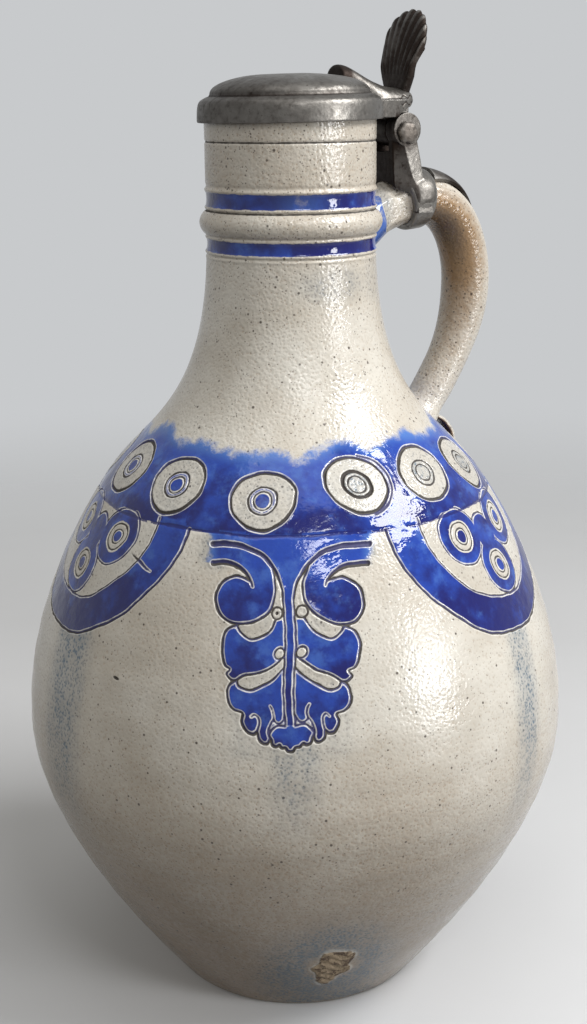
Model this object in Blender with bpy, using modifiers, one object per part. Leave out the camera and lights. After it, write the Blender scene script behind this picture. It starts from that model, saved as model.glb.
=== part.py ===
"""Salt-glazed stoneware jug with a hinged pewter lid, built piece by piece in metres.

The jug stands on z = 0 with its axis on Z. The handle and the lid hinge lie in the XZ plane, on the +X side.
"""

import math

import bmesh
import bpy
from mathutils import Matrix, Vector
from mathutils.geometry import interpolate_bezier

# Gap between pieces that touch on the real jug
GAP = 0.0003

# Thrown body: outer outline from the foot to the lip, then the wall
FOOT_RADIUS = 0.0578
FOOT_FLARE = math.radians(37.8)
FOOT_PULL = 0.1079
FOOT_ROUND = 0.0025
BELLY_RADIUS = 0.1195
BELLY_HEIGHT = 0.1264
BELLY_PULL_DOWN = 0.0067
BELLY_PULL_UP = 0.0536
SHOULDER_RADIUS = 0.0800
SHOULDER_RISE = 0.1073
SHOULDER_SLOPE = math.radians(37.3)
SHOULDER_PULL_DOWN = 0.0036
SHOULDER_PULL_UP = 0.0288
NECK_RADIUS = 0.0357
NECK_RISE = 0.1012
NECK_PULL = 0.0703
COLLAR_RISE = 0.0498
BEAD_RISE = 0.0043
BEAD_WIDTH = 0.0120
BEAD_PROUD = 0.0030
LIP_ROUND = 0.0016
WALL = 0.0060
FLOOR = 0.0100

# Pulled handle with its folded tail
HANDLE_THICKNESS = 0.0205
HANDLE_WIDTH = 0.0235
HANDLE_FOOT_THICKNESS = 0.0172
HANDLE_FOOT_WIDTH = 0.0206
HANDLE_REACH = 0.0563
HANDLE_OUTERMOST_DROP = 0.0757
HANDLE_ROOT_DROP = 0.0523
HANDLE_ROOT_LEAN = math.radians(29.9)
HANDLE_ROOT_PULL = 0.0662
HANDLE_TOP_PULL = 0.0144
HANDLE_BACK_PULL = 0.0260
HANDLE_FOOT_RISE = 0.0148
HANDLE_FOOT_LEAN = math.radians(33.0)
HANDLE_FOOT_PULL = 0.0233
HANDLE_EMBED = 0.0100
TAIL_THICKNESS = 0.0022
TAIL_WIDTH = 0.0150
TAIL_DROP = 0.0185
TAIL_STANDOFF = 0.0050
TAIL_SQUARENESS = 4.0

# Lid, seated over the lip
LID_CLEARANCE = 0.0008
LID_WALL = 0.0020
LID_RIM_HEIGHT = 0.0078
LID_OVERLAP = 0.0055
LID_LEDGE_WIDTH = 0.0061
LID_LEDGE_RISE = 0.0036
LID_DOME_RISE = 0.0077
LID_SEAT_WIDTH = 0.0075
DOME_FULLNESS = 0.75

# Hinge: pin, knuckles, post and the ring round the handle
HINGE_STANDOFF = 0.0123
HINGE_DROP = 0.0036
HINGE_WIDTH = 0.0240
KNUCKLE_RADIUS = 0.0070
KNUCKLE_CLEARANCE = 0.0006
MIDDLE_KNUCKLE_WIDTH = 0.0100
PIN_RADIUS = 0.0021
PIN_HEAD_RADIUS = 0.0048
PIN_HEAD_HEIGHT = 0.0024
PIN_HEAD_ROUND = 0.0013
BURR_RADIUS = 0.0042
BURR_HEIGHT = 0.0018
PIN_END = 0.0008
POST_ARM_WIDTH = 0.0078
PLATE_REACH = 0.0050
PLATE_DEPTH = 0.0102
PLATE_TOP_DROP = 0.0036
PLATE_BOTTOM_DROP = 0.0230
PLATE_NEAR_SIDE = 0.0085
PLATE_FAR_SIDE = 0.0113
SLOT_DEPTH = 0.0024
RING_OFFSET = 0.0088
RING_WIDTH = 0.0120
RING_THICKNESS = 0.0028
SPUR_LENGTH = 0.0240
SPUR_THICKNESS = 0.0030
SPUR_WIDTH = 0.0140
SPUR_TIP_WIDTH = 0.0070
SPUR_TIP_THICKNESS = 0.0018
SPUR_SQUARENESS = 3.0

# Tongue that joins the lid to the hinge, and the shell thumbpiece on it
TONGUE_TIP_SETBACK = 0.0210
TONGUE_TIP_WIDTH = 0.0120
TONGUE_WIDTH = 0.0190
TONGUE_TIP_THICKNESS = 0.0058
TONGUE_THICKNESS = 0.0108
TONGUE_TIP_BURY = 0.0014
TONGUE_RIM_SINK = 0.0044
TONGUE_END_THICKNESS = 0.0066
TONGUE_END_RISE = 0.0134
TONGUE_END_REACH = 0.0062
TONGUE_NECK_THICKNESS = 0.0112
TONGUE_TIP_PULL = 0.45
TONGUE_RIM_PULL = 0.30
TONGUE_SADDLE_PULL = 0.20
TONGUE_SQUARENESS = 2.6
TONGUE_NECK_SQUARENESS = 6.0
THUMB_HEIGHT = 0.0354
THUMB_BASE_WIDTH = 0.0180
THUMB_WIDTH = 0.0270
THUMB_TOP_WIDTH = 0.0080
THUMB_THICKNESS = 0.0042
THUMB_LEAN = 0.0080
THUMB_SETBACK = 0.0022
THUMB_TOP_THICKNESS = 0.0025
THUMB_FOOT_PULL = 0.55
THUMB_TOP_PULL = 0.20
THUMB_CURL = 0.50
THUMB_SQUARENESS = 2.4

# Facets
SHARP_EDGE = math.radians(40)
TURN_STEPS = 56
FOOT_STEPS = 12
BELLY_STEPS = 10
THROAT_STEPS = 11
BEAD_STEPS = 6
HANDLE_TOP_STEPS = 20
HANDLE_BACK_STEPS = 14
TAIL_STEPS = 12
RING_PATH_STEPS = 6
CUTTER_PATH_STEPS = 12
SPUR_STEPS = 12
DOME_STEPS = 6
CEILING_STEPS = 5
CREST_STEPS = 9
SADDLE_STEPS = 6
THUMB_STEPS = 12
LID_STEPS = 48
STRAP_SIDES = 18
PIN_SIDES = 24
ROUND_STEPS = 16

# Heights and radii that follow from the values above
SHOULDER_HEIGHT = BELLY_HEIGHT + SHOULDER_RISE
NECK_HEIGHT = SHOULDER_HEIGHT + NECK_RISE
LIP_HEIGHT = NECK_HEIGHT + COLLAR_RISE
BEAD_HEIGHT = NECK_HEIGHT + BEAD_RISE
LID_RIM_RADIUS = NECK_RADIUS + LID_CLEARANCE + LID_WALL
LID_BOTTOM = LIP_HEIGHT - LID_OVERLAP
LID_RIM_TOP = LID_BOTTOM + LID_RIM_HEIGHT
LID_DOME_RADIUS = LID_RIM_RADIUS - LID_LEDGE_WIDTH
LID_DOME_FOOT = LID_RIM_TOP + LID_LEDGE_RISE
LID_TOP = LID_DOME_FOOT + LID_DOME_RISE
HINGE = Vector((LID_RIM_RADIUS + HINGE_STANDOFF, 0, LID_BOTTOM - HINGE_DROP))
UP = Vector((0, 0, 1))
OUT = Vector((1, 0, 0))

STONEWARE = ((0.56, 0.51, 0.43, 1), 0.35, 0.0)
PEWTER = ((0.16, 0.16, 0.15, 1), 0.45, 1.0)
IRON = ((0.10, 0.10, 0.10, 1), 0.55, 1.0)


def clear_scene():
    """Removes whatever the scene holds."""
    for old in list(bpy.data.objects):
        bpy.data.objects.remove(old, do_unlink=True)


def new_collection(name):
    """A collection of this name, linked to the scene."""
    collection = bpy.data.collections.new(name)
    bpy.context.scene.collection.children.link(collection)
    return collection


def new_material(name, finish):
    """A Principled material from a (colour, roughness, metallic) finish."""
    colour, roughness, metallic = finish
    material = bpy.data.materials.new(name)
    material.use_nodes = True
    shader = material.node_tree.nodes["Principled BSDF"]
    shader.inputs["Base Color"].default_value = colour
    shader.inputs["Roughness"].default_value = roughness
    shader.inputs["Metallic"].default_value = metallic
    return material


def new_object(name, mesh, collection, finish=None):
    """Links a mesh as a part with its own material, or as a hidden cutter when it has no finish."""
    piece = bpy.data.objects.new(name, mesh)
    collection.objects.link(piece)
    if finish is None:
        piece.hide_render = True
        piece.display_type = "WIRE"
    else:
        mesh.materials.append(new_material(name, finish))
    return piece


def turned(name, profile, steps, collection, finish=None):
    """Turns a profile of (radius, height) points round Z. The outer side runs top to bottom."""
    mesh = bpy.data.meshes.new(name)
    edges = [(i, i + 1) for i in range(len(profile) - 1)]
    mesh.from_pydata([(radius, 0, height) for radius, height in profile], edges, [])
    piece = new_object(name, mesh, collection, finish)
    screw = piece.modifiers.new("turn", "SCREW")
    screw.steps = screw.render_steps = steps
    screw.use_merge_vertices = True
    screw.merge_threshold = 0.00001
    screw.use_smooth_shade = True
    return piece


def strap(name, path, half_thickness, half_width, collection, finish=None, squareness=2.0, grow=0.0):
    """Lofts a strap of superellipse sections square to a path in the XZ plane.

    half_thickness and half_width give the section at each share of the path, from 0 to 1.
    """
    mesh = bpy.data.meshes.new(name)
    shape = bmesh.new()
    rings = []
    last = len(path) - 1
    for i, point in enumerate(path):
        along = (path[min(i + 1, last)] - path[max(i - 1, 0)]).normalized()
        across = Vector((-along.z, 0, along.x))
        thick = half_thickness(i / last) + grow
        wide = half_width(i / last) + grow
        ring = []
        for side in range(STRAP_SIDES):
            angle = 2 * math.pi * side / STRAP_SIDES
            bulge = rounded(math.cos(angle), squareness) * thick
            spread = rounded(math.sin(angle), squareness) * wide
            ring.append(shape.verts.new(point + across * bulge + Vector((0, spread, 0))))
        rings.append(ring)
    for first, second in zip(rings, rings[1:]):
        for side in range(STRAP_SIDES):
            after = (side + 1) % STRAP_SIDES
            shape.faces.new((first[side], first[after], second[after], second[side]))
    shape.faces.new(rings[0])
    shape.faces.new(rings[-1])
    bmesh.ops.recalc_face_normals(shape, faces=shape.faces)
    shape.to_mesh(mesh)
    shape.free()
    mesh.shade_smooth()
    mesh.set_sharp_from_angle(angle=SHARP_EDGE)
    return new_object(name, mesh, collection, finish)


def rounded(value, squareness):
    """A superellipse coordinate: 2 gives an ellipse, more gives a squarer section."""
    return math.copysign(abs(value) ** (2 / squareness), value)


def rod(name, radius, length, centre, collection, finish=None):
    """A round bar along Y, centred on a point."""
    mesh = bpy.data.meshes.new(name)
    shape = bmesh.new()
    turn = Matrix.Translation(centre) @ Matrix.Rotation(math.pi / 2, 4, "X")
    bmesh.ops.create_cone(
        shape, cap_ends=True, segments=PIN_SIDES, radius1=radius, radius2=radius, depth=length, matrix=turn
    )
    shape.to_mesh(mesh)
    shape.free()
    mesh.shade_smooth()
    mesh.set_sharp_from_angle(angle=SHARP_EDGE)
    return new_object(name, mesh, collection, finish)


def block(name, size, centre, collection):
    """A box used as a cutter."""
    mesh = bpy.data.meshes.new(name)
    shape = bmesh.new()
    place = Matrix.Translation(centre) @ Matrix.Diagonal((*size, 1))
    bmesh.ops.create_cube(shape, size=1, matrix=place)
    shape.to_mesh(mesh)
    shape.free()
    return new_object(name, mesh, collection)


def shape_with(piece, other, operation):
    """Adds a Boolean with another object."""
    boolean = piece.modifiers.new(operation.lower() + "_" + other.name, "BOOLEAN")
    boolean.operation = operation
    boolean.solver = "EXACT"
    boolean.object = other


def outline():
    """Outer outline of the body as (radius, height) vectors from the foot to the lip, with no bead."""
    foot = Vector((FOOT_RADIUS, 0))
    belly = Vector((BELLY_RADIUS, BELLY_HEIGHT))
    shoulder = Vector((SHOULDER_RADIUS, SHOULDER_HEIGHT))
    neck = Vector((NECK_RADIUS, NECK_HEIGHT))
    flare = Vector((math.sin(FOOT_FLARE), math.cos(FOOT_FLARE)))
    slope = Vector((-math.sin(SHOULDER_SLOPE), math.cos(SHOULDER_SLOPE)))
    rise = Vector((0, 1))
    lower = interpolate_bezier(
        foot, foot + flare * FOOT_PULL, belly - rise * BELLY_PULL_DOWN, belly, FOOT_STEPS
    )
    upper = interpolate_bezier(
        belly, belly + rise * BELLY_PULL_UP, shoulder - slope * SHOULDER_PULL_DOWN, shoulder, BELLY_STEPS
    )
    throat = interpolate_bezier(
        shoulder, shoulder + slope * SHOULDER_PULL_UP, neck - rise * NECK_PULL, neck, THROAT_STEPS
    )
    lip = Vector((NECK_RADIUS, LIP_HEIGHT))
    return lower[:-1] + upper[:-1] + throat + [lip]


def outline_at(height, grow=0.0):
    """A point on the outer outline at a height, pushed out by grow along the outline's normal."""
    points = outline()
    for low, high in zip(points, points[1:]):
        if low.y <= height <= high.y:
            share = (height - low.y) / (high.y - low.y)
            point = low.lerp(high, share)
            along = (high - low).normalized()
            return Vector((point.x + along.y * grow, 0, point.y - along.x * grow))
    raise ValueError("height is off the outline")


def pushed(points, distance):
    """An outline moved by a distance along its normals, outward when positive."""
    moved = []
    last = len(points) - 1
    for i, point in enumerate(points):
        along = (points[min(i + 1, last)] - points[max(i - 1, 0)]).normalized()
        moved.append(point + Vector((along.y, -along.x)) * distance)
    return moved


def beaded(points):
    """The outline with the bead round the collar."""
    half = BEAD_WIDTH / 2
    below = [p for p in points if p.y < BEAD_HEIGHT - half]
    above = [p for p in points if p.y > BEAD_HEIGHT + half]
    bead = []
    for i in range(BEAD_STEPS + 1):
        swing = math.pi * i / BEAD_STEPS
        height = BEAD_HEIGHT - half * math.cos(swing)
        bead.append(Vector((NECK_RADIUS + BEAD_PROUD * math.sin(swing), height)))
    return below + bead + above


def make_body(parts):
    """The thrown body: a hollow turned solid with a rounded lip and foot."""
    outer = beaded(outline())
    inner = [p for p in pushed(outline()[::2], -WALL) if FLOOR + WALL < p.y < LIP_HEIGHT - LIP_ROUND]
    mouth = NECK_RADIUS - WALL
    floor_edge = inner[0].x - WALL
    profile = [(0, FLOOR), (floor_edge, FLOOR)]
    profile += [(p.x, p.y) for p in inner]
    profile += [(mouth, LIP_HEIGHT - LIP_ROUND), (mouth + LIP_ROUND, LIP_HEIGHT)]
    profile += [(NECK_RADIUS - LIP_ROUND, LIP_HEIGHT), (NECK_RADIUS, LIP_HEIGHT - LIP_ROUND)]
    profile += [(p.x, p.y) for p in reversed(outer[1:-1])]
    profile += [(outer[0].x + FOOT_ROUND * math.sin(FOOT_FLARE), FOOT_ROUND * math.cos(FOOT_FLARE))]
    profile += [(outer[0].x - FOOT_ROUND, 0), (0, 0)]
    return turned("jug_body", profile, TURN_STEPS, parts, STONEWARE)


def make_body_clearance(cutters):
    """The body's outer form grown by the gap, for cutting what is luted or set against it."""
    outer = pushed(beaded(outline()), GAP)
    top = LIP_HEIGHT + GAP
    profile = [(0, top), (outer[-1].x, top)]
    profile += [(p.x, p.y) for p in reversed(outer[:-1])]
    profile += [(0, outer[0].y)]
    return turned("body_clearance", profile, TURN_STEPS, cutters)


def handle_path():
    """Centre line of the handle from inside the neck wall to inside the shoulder wall."""
    root = Vector((NECK_RADIUS - HANDLE_EMBED, 0, LIP_HEIGHT - HANDLE_ROOT_DROP))
    lead = Vector((math.cos(HANDLE_ROOT_LEAN), 0, math.sin(HANDLE_ROOT_LEAN)))
    outermost = Vector((NECK_RADIUS + HANDLE_REACH, 0, LIP_HEIGHT - HANDLE_OUTERMOST_DROP))
    landing = Vector((math.sin(HANDLE_FOOT_LEAN), 0, math.cos(HANDLE_FOOT_LEAN)))
    foot = outline_at(SHOULDER_HEIGHT + HANDLE_FOOT_RISE) - landing * HANDLE_EMBED
    top = interpolate_bezier(
        root, root + lead * HANDLE_ROOT_PULL, outermost + UP * HANDLE_TOP_PULL, outermost, HANDLE_TOP_STEPS
    )
    back = interpolate_bezier(
        outermost,
        outermost - UP * HANDLE_BACK_PULL,
        foot + landing * HANDLE_FOOT_PULL,
        foot,
        HANDLE_BACK_STEPS,
    )
    return top[:-1] + back


def stretch(path, middle, before, after, count):
    """Part of a path between two distances from the point where x first passes middle."""
    lengths = [0.0]
    for first, second in zip(path, path[1:]):
        lengths.append(lengths[-1] + (second - first).length)
    start = next(i for i, point in enumerate(path) if point.x > middle)
    share = (middle - path[start - 1].x) / (path[start].x - path[start - 1].x)
    centre = lengths[start - 1] + share * (lengths[start] - lengths[start - 1])
    points = []
    for step in range(count + 1):
        length = centre - before + (before + after) * step / count
        k = max(1, next((i for i, total in enumerate(lengths) if total >= length), len(path) - 1))
        part = (length - lengths[k - 1]) / (lengths[k] - lengths[k - 1])
        points.append(path[k - 1].lerp(path[k], part))
    return points


def level(value):
    """A strap size that is the same all along the path."""
    return lambda share: value


def eased(*values):
    """A strap size that runs smoothly through evenly spaced values along the path."""

    def size(share):
        place = share * (len(values) - 1)
        first = min(int(place), len(values) - 2)
        blend = (1 - math.cos(math.pi * (place - first))) / 2
        return values[first] + (values[first + 1] - values[first]) * blend

    return size


def tail_path():
    """The strap below the handle's foot: a loop that stands off the shoulder and runs back to it."""
    start_height = SHOULDER_HEIGHT + HANDLE_FOOT_RISE
    points = []
    for i in range(TAIL_STEPS + 1):
        share = i / TAIL_STEPS
        points.append(outline_at(start_height - TAIL_DROP * share, TAIL_STANDOFF * math.sin(math.pi * share)))
    return points


def make_handle(parts, cutters, body_clearance):
    """The pulled handle and its tail, joined and cut to the body's outside."""
    thick, wide = HANDLE_THICKNESS / 2, HANDLE_WIDTH / 2
    foot_thick, foot_wide = HANDLE_FOOT_THICKNESS / 2, HANDLE_FOOT_WIDTH / 2
    handle = strap(
        "jug_handle",
        handle_path(),
        eased(thick, thick, thick, thick, foot_thick, foot_thick),
        eased(wide, wide, wide, wide, foot_wide, foot_wide),
        parts,
        STONEWARE,
    )
    tail = strap(
        "handle_tail",
        tail_path(),
        level(TAIL_THICKNESS / 2),
        level(TAIL_WIDTH / 2),
        cutters,
        squareness=TAIL_SQUARENESS,
    )
    shape_with(handle, tail, "UNION")
    shape_with(handle, body_clearance, "DIFFERENCE")
    return handle


def make_ring(parts, cutters):
    """The pewter ring closed round the handle below the hinge."""
    middle = HINGE.x + RING_OFFSET
    path = stretch(handle_path(), middle, RING_WIDTH / 2, RING_WIDTH / 2, RING_PATH_STEPS)
    longer = stretch(handle_path(), middle, RING_WIDTH, RING_WIDTH, CUTTER_PATH_STEPS)
    outer = GAP + RING_THICKNESS
    ring = strap(
        "handle_ring",
        path,
        level(HANDLE_THICKNESS / 2 + outer),
        level(HANDLE_WIDTH / 2 + outer),
        parts,
        PEWTER,
    )
    bore = strap(
        "ring_bore", longer, level(HANDLE_THICKNESS / 2), level(HANDLE_WIDTH / 2), cutters, grow=GAP
    )
    shape_with(ring, bore, "DIFFERENCE")
    return ring


def make_spur(parts):
    """The pewter strip that lies along the back of the handle from the ring."""
    middle = HINGE.x + RING_OFFSET
    start = RING_WIDTH / 2 + GAP
    along = stretch(handle_path(), middle, -start, start + SPUR_LENGTH, SPUR_STEPS)
    lift = HANDLE_THICKNESS / 2 + GAP + SPUR_THICKNESS / 2
    path = [Vector((p.x, 0, p.y)) for p in pushed([Vector((p.x, p.z)) for p in along], -lift)]
    half = SPUR_THICKNESS / 2
    return strap(
        "handle_spur",
        path,
        eased(half, half, SPUR_TIP_THICKNESS / 2),
        eased(SPUR_WIDTH / 2, SPUR_WIDTH / 2, SPUR_TIP_WIDTH / 2),
        parts,
        PEWTER,
        squareness=SPUR_SQUARENESS,
    )


def make_post(parts, cutters):
    """The hinge post: two outer knuckles on an arm that stands on the ring, with a plate towards the neck."""
    middle = HINGE.x + RING_OFFSET
    seat = stretch(handle_path(), middle, 0, RING_WIDTH, RING_PATH_STEPS)[0]
    fall = (seat - HINGE).normalized()
    curve = bpy.data.curves.new("post_outline", "CURVE")
    curve.dimensions = "2D"
    curve.fill_mode = "BOTH"
    curve.extrude = HINGE_WIDTH / 2
    spline = curve.splines.new("POLY")
    facing = math.atan2(fall.z, fall.x)
    arm = POST_ARM_WIDTH / 2
    leave = math.asin(arm / KNUCKLE_RADIUS)
    corners = []
    for centre, radius, start, sweep in (
        (HINGE, KNUCKLE_RADIUS, facing + leave, 2 * math.pi - 2 * leave),
        (seat, arm, facing - math.pi / 2, math.pi),
    ):
        for i in range(ROUND_STEPS + 1):
            angle = start + sweep * i / ROUND_STEPS
            corners.append((centre.x + radius * math.cos(angle), centre.z + radius * math.sin(angle)))
    spline.points.add(len(corners) - 1)
    for point, (x, z) in zip(spline.points, corners):
        point.co = (x, z, 0, 1)
    spline.use_cyclic_u = True
    drawn = bpy.data.objects.new("post_outline", curve)
    drawn.rotation_euler = (math.pi / 2, 0, 0)
    cutters.objects.link(drawn)
    post = new_object("hinge_post", solid_mesh(drawn, "hinge_post"), parts, PEWTER)
    plate_size = (PLATE_DEPTH, PLATE_NEAR_SIDE + PLATE_FAR_SIDE, PLATE_BOTTOM_DROP - PLATE_TOP_DROP)
    plate_centre = HINGE - UP * (PLATE_BOTTOM_DROP + PLATE_TOP_DROP) / 2
    plate_centre += Vector((PLATE_DEPTH / 2 - PLATE_REACH, (PLATE_FAR_SIDE - PLATE_NEAR_SIDE) / 2, 0))
    shape_with(post, block("post_plate", plate_size, plate_centre, cutters), "UNION")
    slot_height = 2 * KNUCKLE_RADIUS + SLOT_DEPTH + KNUCKLE_CLEARANCE
    slot_size = (4 * KNUCKLE_RADIUS, MIDDLE_KNUCKLE_WIDTH + 2 * GAP, 2 * slot_height)
    slot_centre = HINGE + UP * (slot_height - KNUCKLE_RADIUS - SLOT_DEPTH)
    shape_with(post, block("post_slot", slot_size, slot_centre, cutters), "DIFFERENCE")
    shape_with(post, rod("pin_bore", PIN_RADIUS + GAP, 2 * HINGE_WIDTH, HINGE, cutters), "DIFFERENCE")
    outer = GAP + RING_THICKNESS
    ring_form = strap(
        "ring_clearance",
        stretch(handle_path(), middle, RING_WIDTH, RING_WIDTH, CUTTER_PATH_STEPS),
        level(HANDLE_THICKNESS / 2 + outer),
        level(HANDLE_WIDTH / 2 + outer),
        cutters,
        grow=GAP,
    )
    shape_with(post, ring_form, "DIFFERENCE")
    return post


def solid_mesh(drawn, name):
    """A curve object's evaluated mesh in world space, with its caps welded. The curve is removed."""
    bpy.context.view_layer.update()
    graph = bpy.context.evaluated_depsgraph_get()
    mesh = bpy.data.meshes.new_from_object(drawn.evaluated_get(graph))
    mesh.name = name
    mesh.transform(drawn.matrix_world)
    mesh.materials.clear()
    shape = bmesh.new()
    shape.from_mesh(mesh)
    bmesh.ops.remove_doubles(shape, verts=shape.verts, dist=0.000001)
    bmesh.ops.recalc_face_normals(shape, faces=shape.faces)
    shape.to_mesh(mesh)
    shape.free()
    bpy.data.objects.remove(drawn, do_unlink=True)
    mesh.shade_smooth()
    mesh.set_sharp_from_angle(angle=SHARP_EDGE)
    return mesh


def laid_along_y(piece):
    """Lays a piece turned about Z on the hinge axis, with its top towards -Y."""
    piece.location = HINGE
    piece.rotation_euler = (math.pi / 2, 0, 0)
    return piece


def make_pin(parts):
    """The iron hinge pin with its round head on the -Y side."""
    face = HINGE_WIDTH / 2 + GAP
    tip = -(face + BURR_HEIGHT + PIN_END)
    profile = [
        (0, face + PIN_HEAD_HEIGHT),
        (PIN_HEAD_RADIUS - PIN_HEAD_ROUND, face + PIN_HEAD_HEIGHT),
        (PIN_HEAD_RADIUS, face + PIN_HEAD_HEIGHT - PIN_HEAD_ROUND),
        (PIN_HEAD_RADIUS, face),
        (PIN_RADIUS, face),
        (PIN_RADIUS, tip),
        (0, tip),
    ]
    return laid_along_y(turned("hinge_pin", profile, PIN_SIDES, parts, IRON))


def make_burr(parts):
    """The washer over which the pin's far end is peened."""
    near = -(HINGE_WIDTH / 2 + GAP)
    far = near - BURR_HEIGHT
    bore = PIN_RADIUS + GAP
    profile = [(bore, near), (BURR_RADIUS, near), (BURR_RADIUS, far), (bore, far)]
    burr = turned("pin_burr", profile, PIN_SIDES, parts, IRON)
    close_profile(burr)
    return laid_along_y(burr)


def close_profile(piece):
    """Joins a profile's last point to its first, for a turned ring."""
    mesh = piece.data
    mesh.edges.add(1)
    mesh.edges[-1].vertices = (len(mesh.vertices) - 1, 0)
    mesh.update()


def lid_outside(grow=0.0):
    """The lid's outer profile from its top centre down to the rim's lower edge."""
    points = [(0, LID_TOP + grow)]
    for i in range(1, DOME_STEPS + 1):
        swing = math.pi / 2 * i / DOME_STEPS
        radius = LID_DOME_RADIUS * math.sin(swing) ** DOME_FULLNESS
        points.append((radius + grow, LID_DOME_FOOT + LID_DOME_RISE * math.cos(swing) + grow))
    round_edge = LID_WALL / 2
    points.append((LID_RIM_RADIUS - round_edge + grow, LID_RIM_TOP + grow))
    points.append((LID_RIM_RADIUS + grow, LID_RIM_TOP - round_edge))
    points.append((LID_RIM_RADIUS + grow, LID_BOTTOM))
    return points


def make_lid(parts):
    """The lid: a domed shell whose rim hangs over the lip and whose seat rests on it."""
    seat = LIP_HEIGHT + GAP
    rim_inside = LID_RIM_RADIUS - LID_WALL
    seat_inside = rim_inside - LID_SEAT_WIDTH
    inside = [(rim_inside, LID_BOTTOM), (rim_inside, seat), (seat_inside, seat)]
    ceiling = LID_TOP - LID_WALL
    for i in range(CEILING_STEPS, -1, -1):
        swing = math.pi / 2 * i / CEILING_STEPS
        radius = seat_inside * math.sin(swing) ** DOME_FULLNESS
        inside.append((radius, LID_DOME_FOOT + (ceiling - LID_DOME_FOOT) * math.cos(swing)))
    return turned("lid_cover", lid_outside() + inside, LID_STEPS, parts, PEWTER)


def tongue_path():
    """Centre line of the tongue, from its tip on the dome over the rim to above the hinge."""
    tip = Vector((LID_DOME_RADIUS - TONGUE_TIP_SETBACK + TONGUE_TIP_THICKNESS, 0, LID_TOP + TONGUE_TIP_BURY))
    over_rim = Vector((LID_RIM_RADIUS, 0, LID_RIM_TOP + TONGUE_THICKNESS / 2 - TONGUE_RIM_SINK))
    end = HINGE + UP * TONGUE_END_RISE + OUT * TONGUE_END_REACH
    run = over_rim.x - tip.x
    lead = OUT * run * TONGUE_SADDLE_PULL
    crest = interpolate_bezier(
        tip, tip + OUT * run * TONGUE_TIP_PULL, over_rim - OUT * run * TONGUE_RIM_PULL, over_rim, CREST_STEPS
    )
    saddle = interpolate_bezier(over_rim, over_rim + lead, end - lead, end, SADDLE_STEPS)
    return crest[:-1] + saddle


def tongue_form(name, collection, finish=None, grow=0.0):
    """The tongue's strap, thin at the tip on the dome, deep at the rim and thinner again over the hinge."""
    tip = TONGUE_TIP_THICKNESS / 2
    deep = TONGUE_THICKNESS / 2
    thickness = eased(tip, tip, deep, TONGUE_END_THICKNESS / 2)
    width = eased(TONGUE_TIP_WIDTH / 2, TONGUE_WIDTH / 2, TONGUE_WIDTH / 2)
    return strap(
        name, tongue_path(), thickness, width, collection, finish, squareness=TONGUE_SQUARENESS, grow=grow
    )


def make_tongue(parts, cutters):
    """The tongue soldered to the lid, with the hinge's middle knuckle under its end."""
    tongue = tongue_form("lid_tongue", parts, PEWTER)
    swing = rod("knuckle_clearance", KNUCKLE_RADIUS + KNUCKLE_CLEARANCE, 2 * HINGE_WIDTH, HINGE, cutters)
    shape_with(tongue, swing, "DIFFERENCE")
    neck = strap(
        "tongue_neck",
        [HINGE + (UP * TONGUE_END_RISE) * share for share in (0, 0.5, 1)],
        level(TONGUE_NECK_THICKNESS / 2),
        level(MIDDLE_KNUCKLE_WIDTH / 2 - GAP),
        cutters,
        squareness=TONGUE_NECK_SQUARENESS,
    )
    shape_with(tongue, neck, "UNION")
    knuckle = rod("middle_knuckle", KNUCKLE_RADIUS, MIDDLE_KNUCKLE_WIDTH, HINGE, cutters)
    shape_with(tongue, knuckle, "UNION")
    shape_with(tongue, rod("tongue_bore", PIN_RADIUS + GAP, 2 * HINGE_WIDTH, HINGE, cutters), "DIFFERENCE")
    lid_form = turned("lid_clearance", lid_outside(GAP) + [(0, LID_BOTTOM)], LID_STEPS, cutters)
    shape_with(tongue, lid_form, "DIFFERENCE")
    return tongue


def thumb_path():
    """Centre line of the thumbpiece, from inside the tongue up to its curled top."""
    foot = HINGE + UP * TONGUE_END_RISE + OUT * THUMB_SETBACK
    top = foot + UP * THUMB_HEIGHT + OUT * THUMB_LEAN
    rise = top.z - foot.z
    arrive = (UP + OUT * THUMB_CURL) * rise * THUMB_TOP_PULL
    return interpolate_bezier(foot, foot + UP * rise * THUMB_FOOT_PULL, top - arrive, top, THUMB_STEPS)


def make_thumbpiece(parts, cutters):
    """The shell thumbpiece that stands on the tongue over the hinge."""
    half = THUMB_THICKNESS / 2
    widths = eased(
        THUMB_BASE_WIDTH / 2, THUMB_BASE_WIDTH / 2, THUMB_WIDTH / 2, THUMB_WIDTH / 2, THUMB_TOP_WIDTH / 2
    )
    thumbpiece = strap(
        "thumbpiece",
        thumb_path(),
        eased(half, half, THUMB_TOP_THICKNESS / 2),
        widths,
        parts,
        PEWTER,
        squareness=THUMB_SQUARENESS,
    )
    shape_with(thumbpiece, tongue_form("tongue_clearance", cutters, grow=GAP), "DIFFERENCE")
    return thumbpiece


def hang_on_hinge(pieces, parts):
    """Parents the lid's pieces to an empty on the hinge axis."""
    axis = bpy.data.objects.new("lid_hinge_axis", None)
    axis.location = HINGE
    parts.objects.link(axis)
    bpy.context.view_layer.update()
    for piece in pieces:
        piece.parent = axis
        piece.matrix_parent_inverse = axis.matrix_world.inverted()


def main():
    clear_scene()
    parts = new_collection("stoneware_jug")
    cutters = new_collection("cutters")
    make_body(parts)
    make_handle(parts, cutters, make_body_clearance(cutters))
    make_ring(parts, cutters)
    make_spur(parts)
    make_post(parts, cutters)
    make_pin(parts)
    make_burr(parts)
    hang_on_hinge([make_lid(parts), make_tongue(parts, cutters), make_thumbpiece(parts, cutters)], parts)


main()
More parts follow.
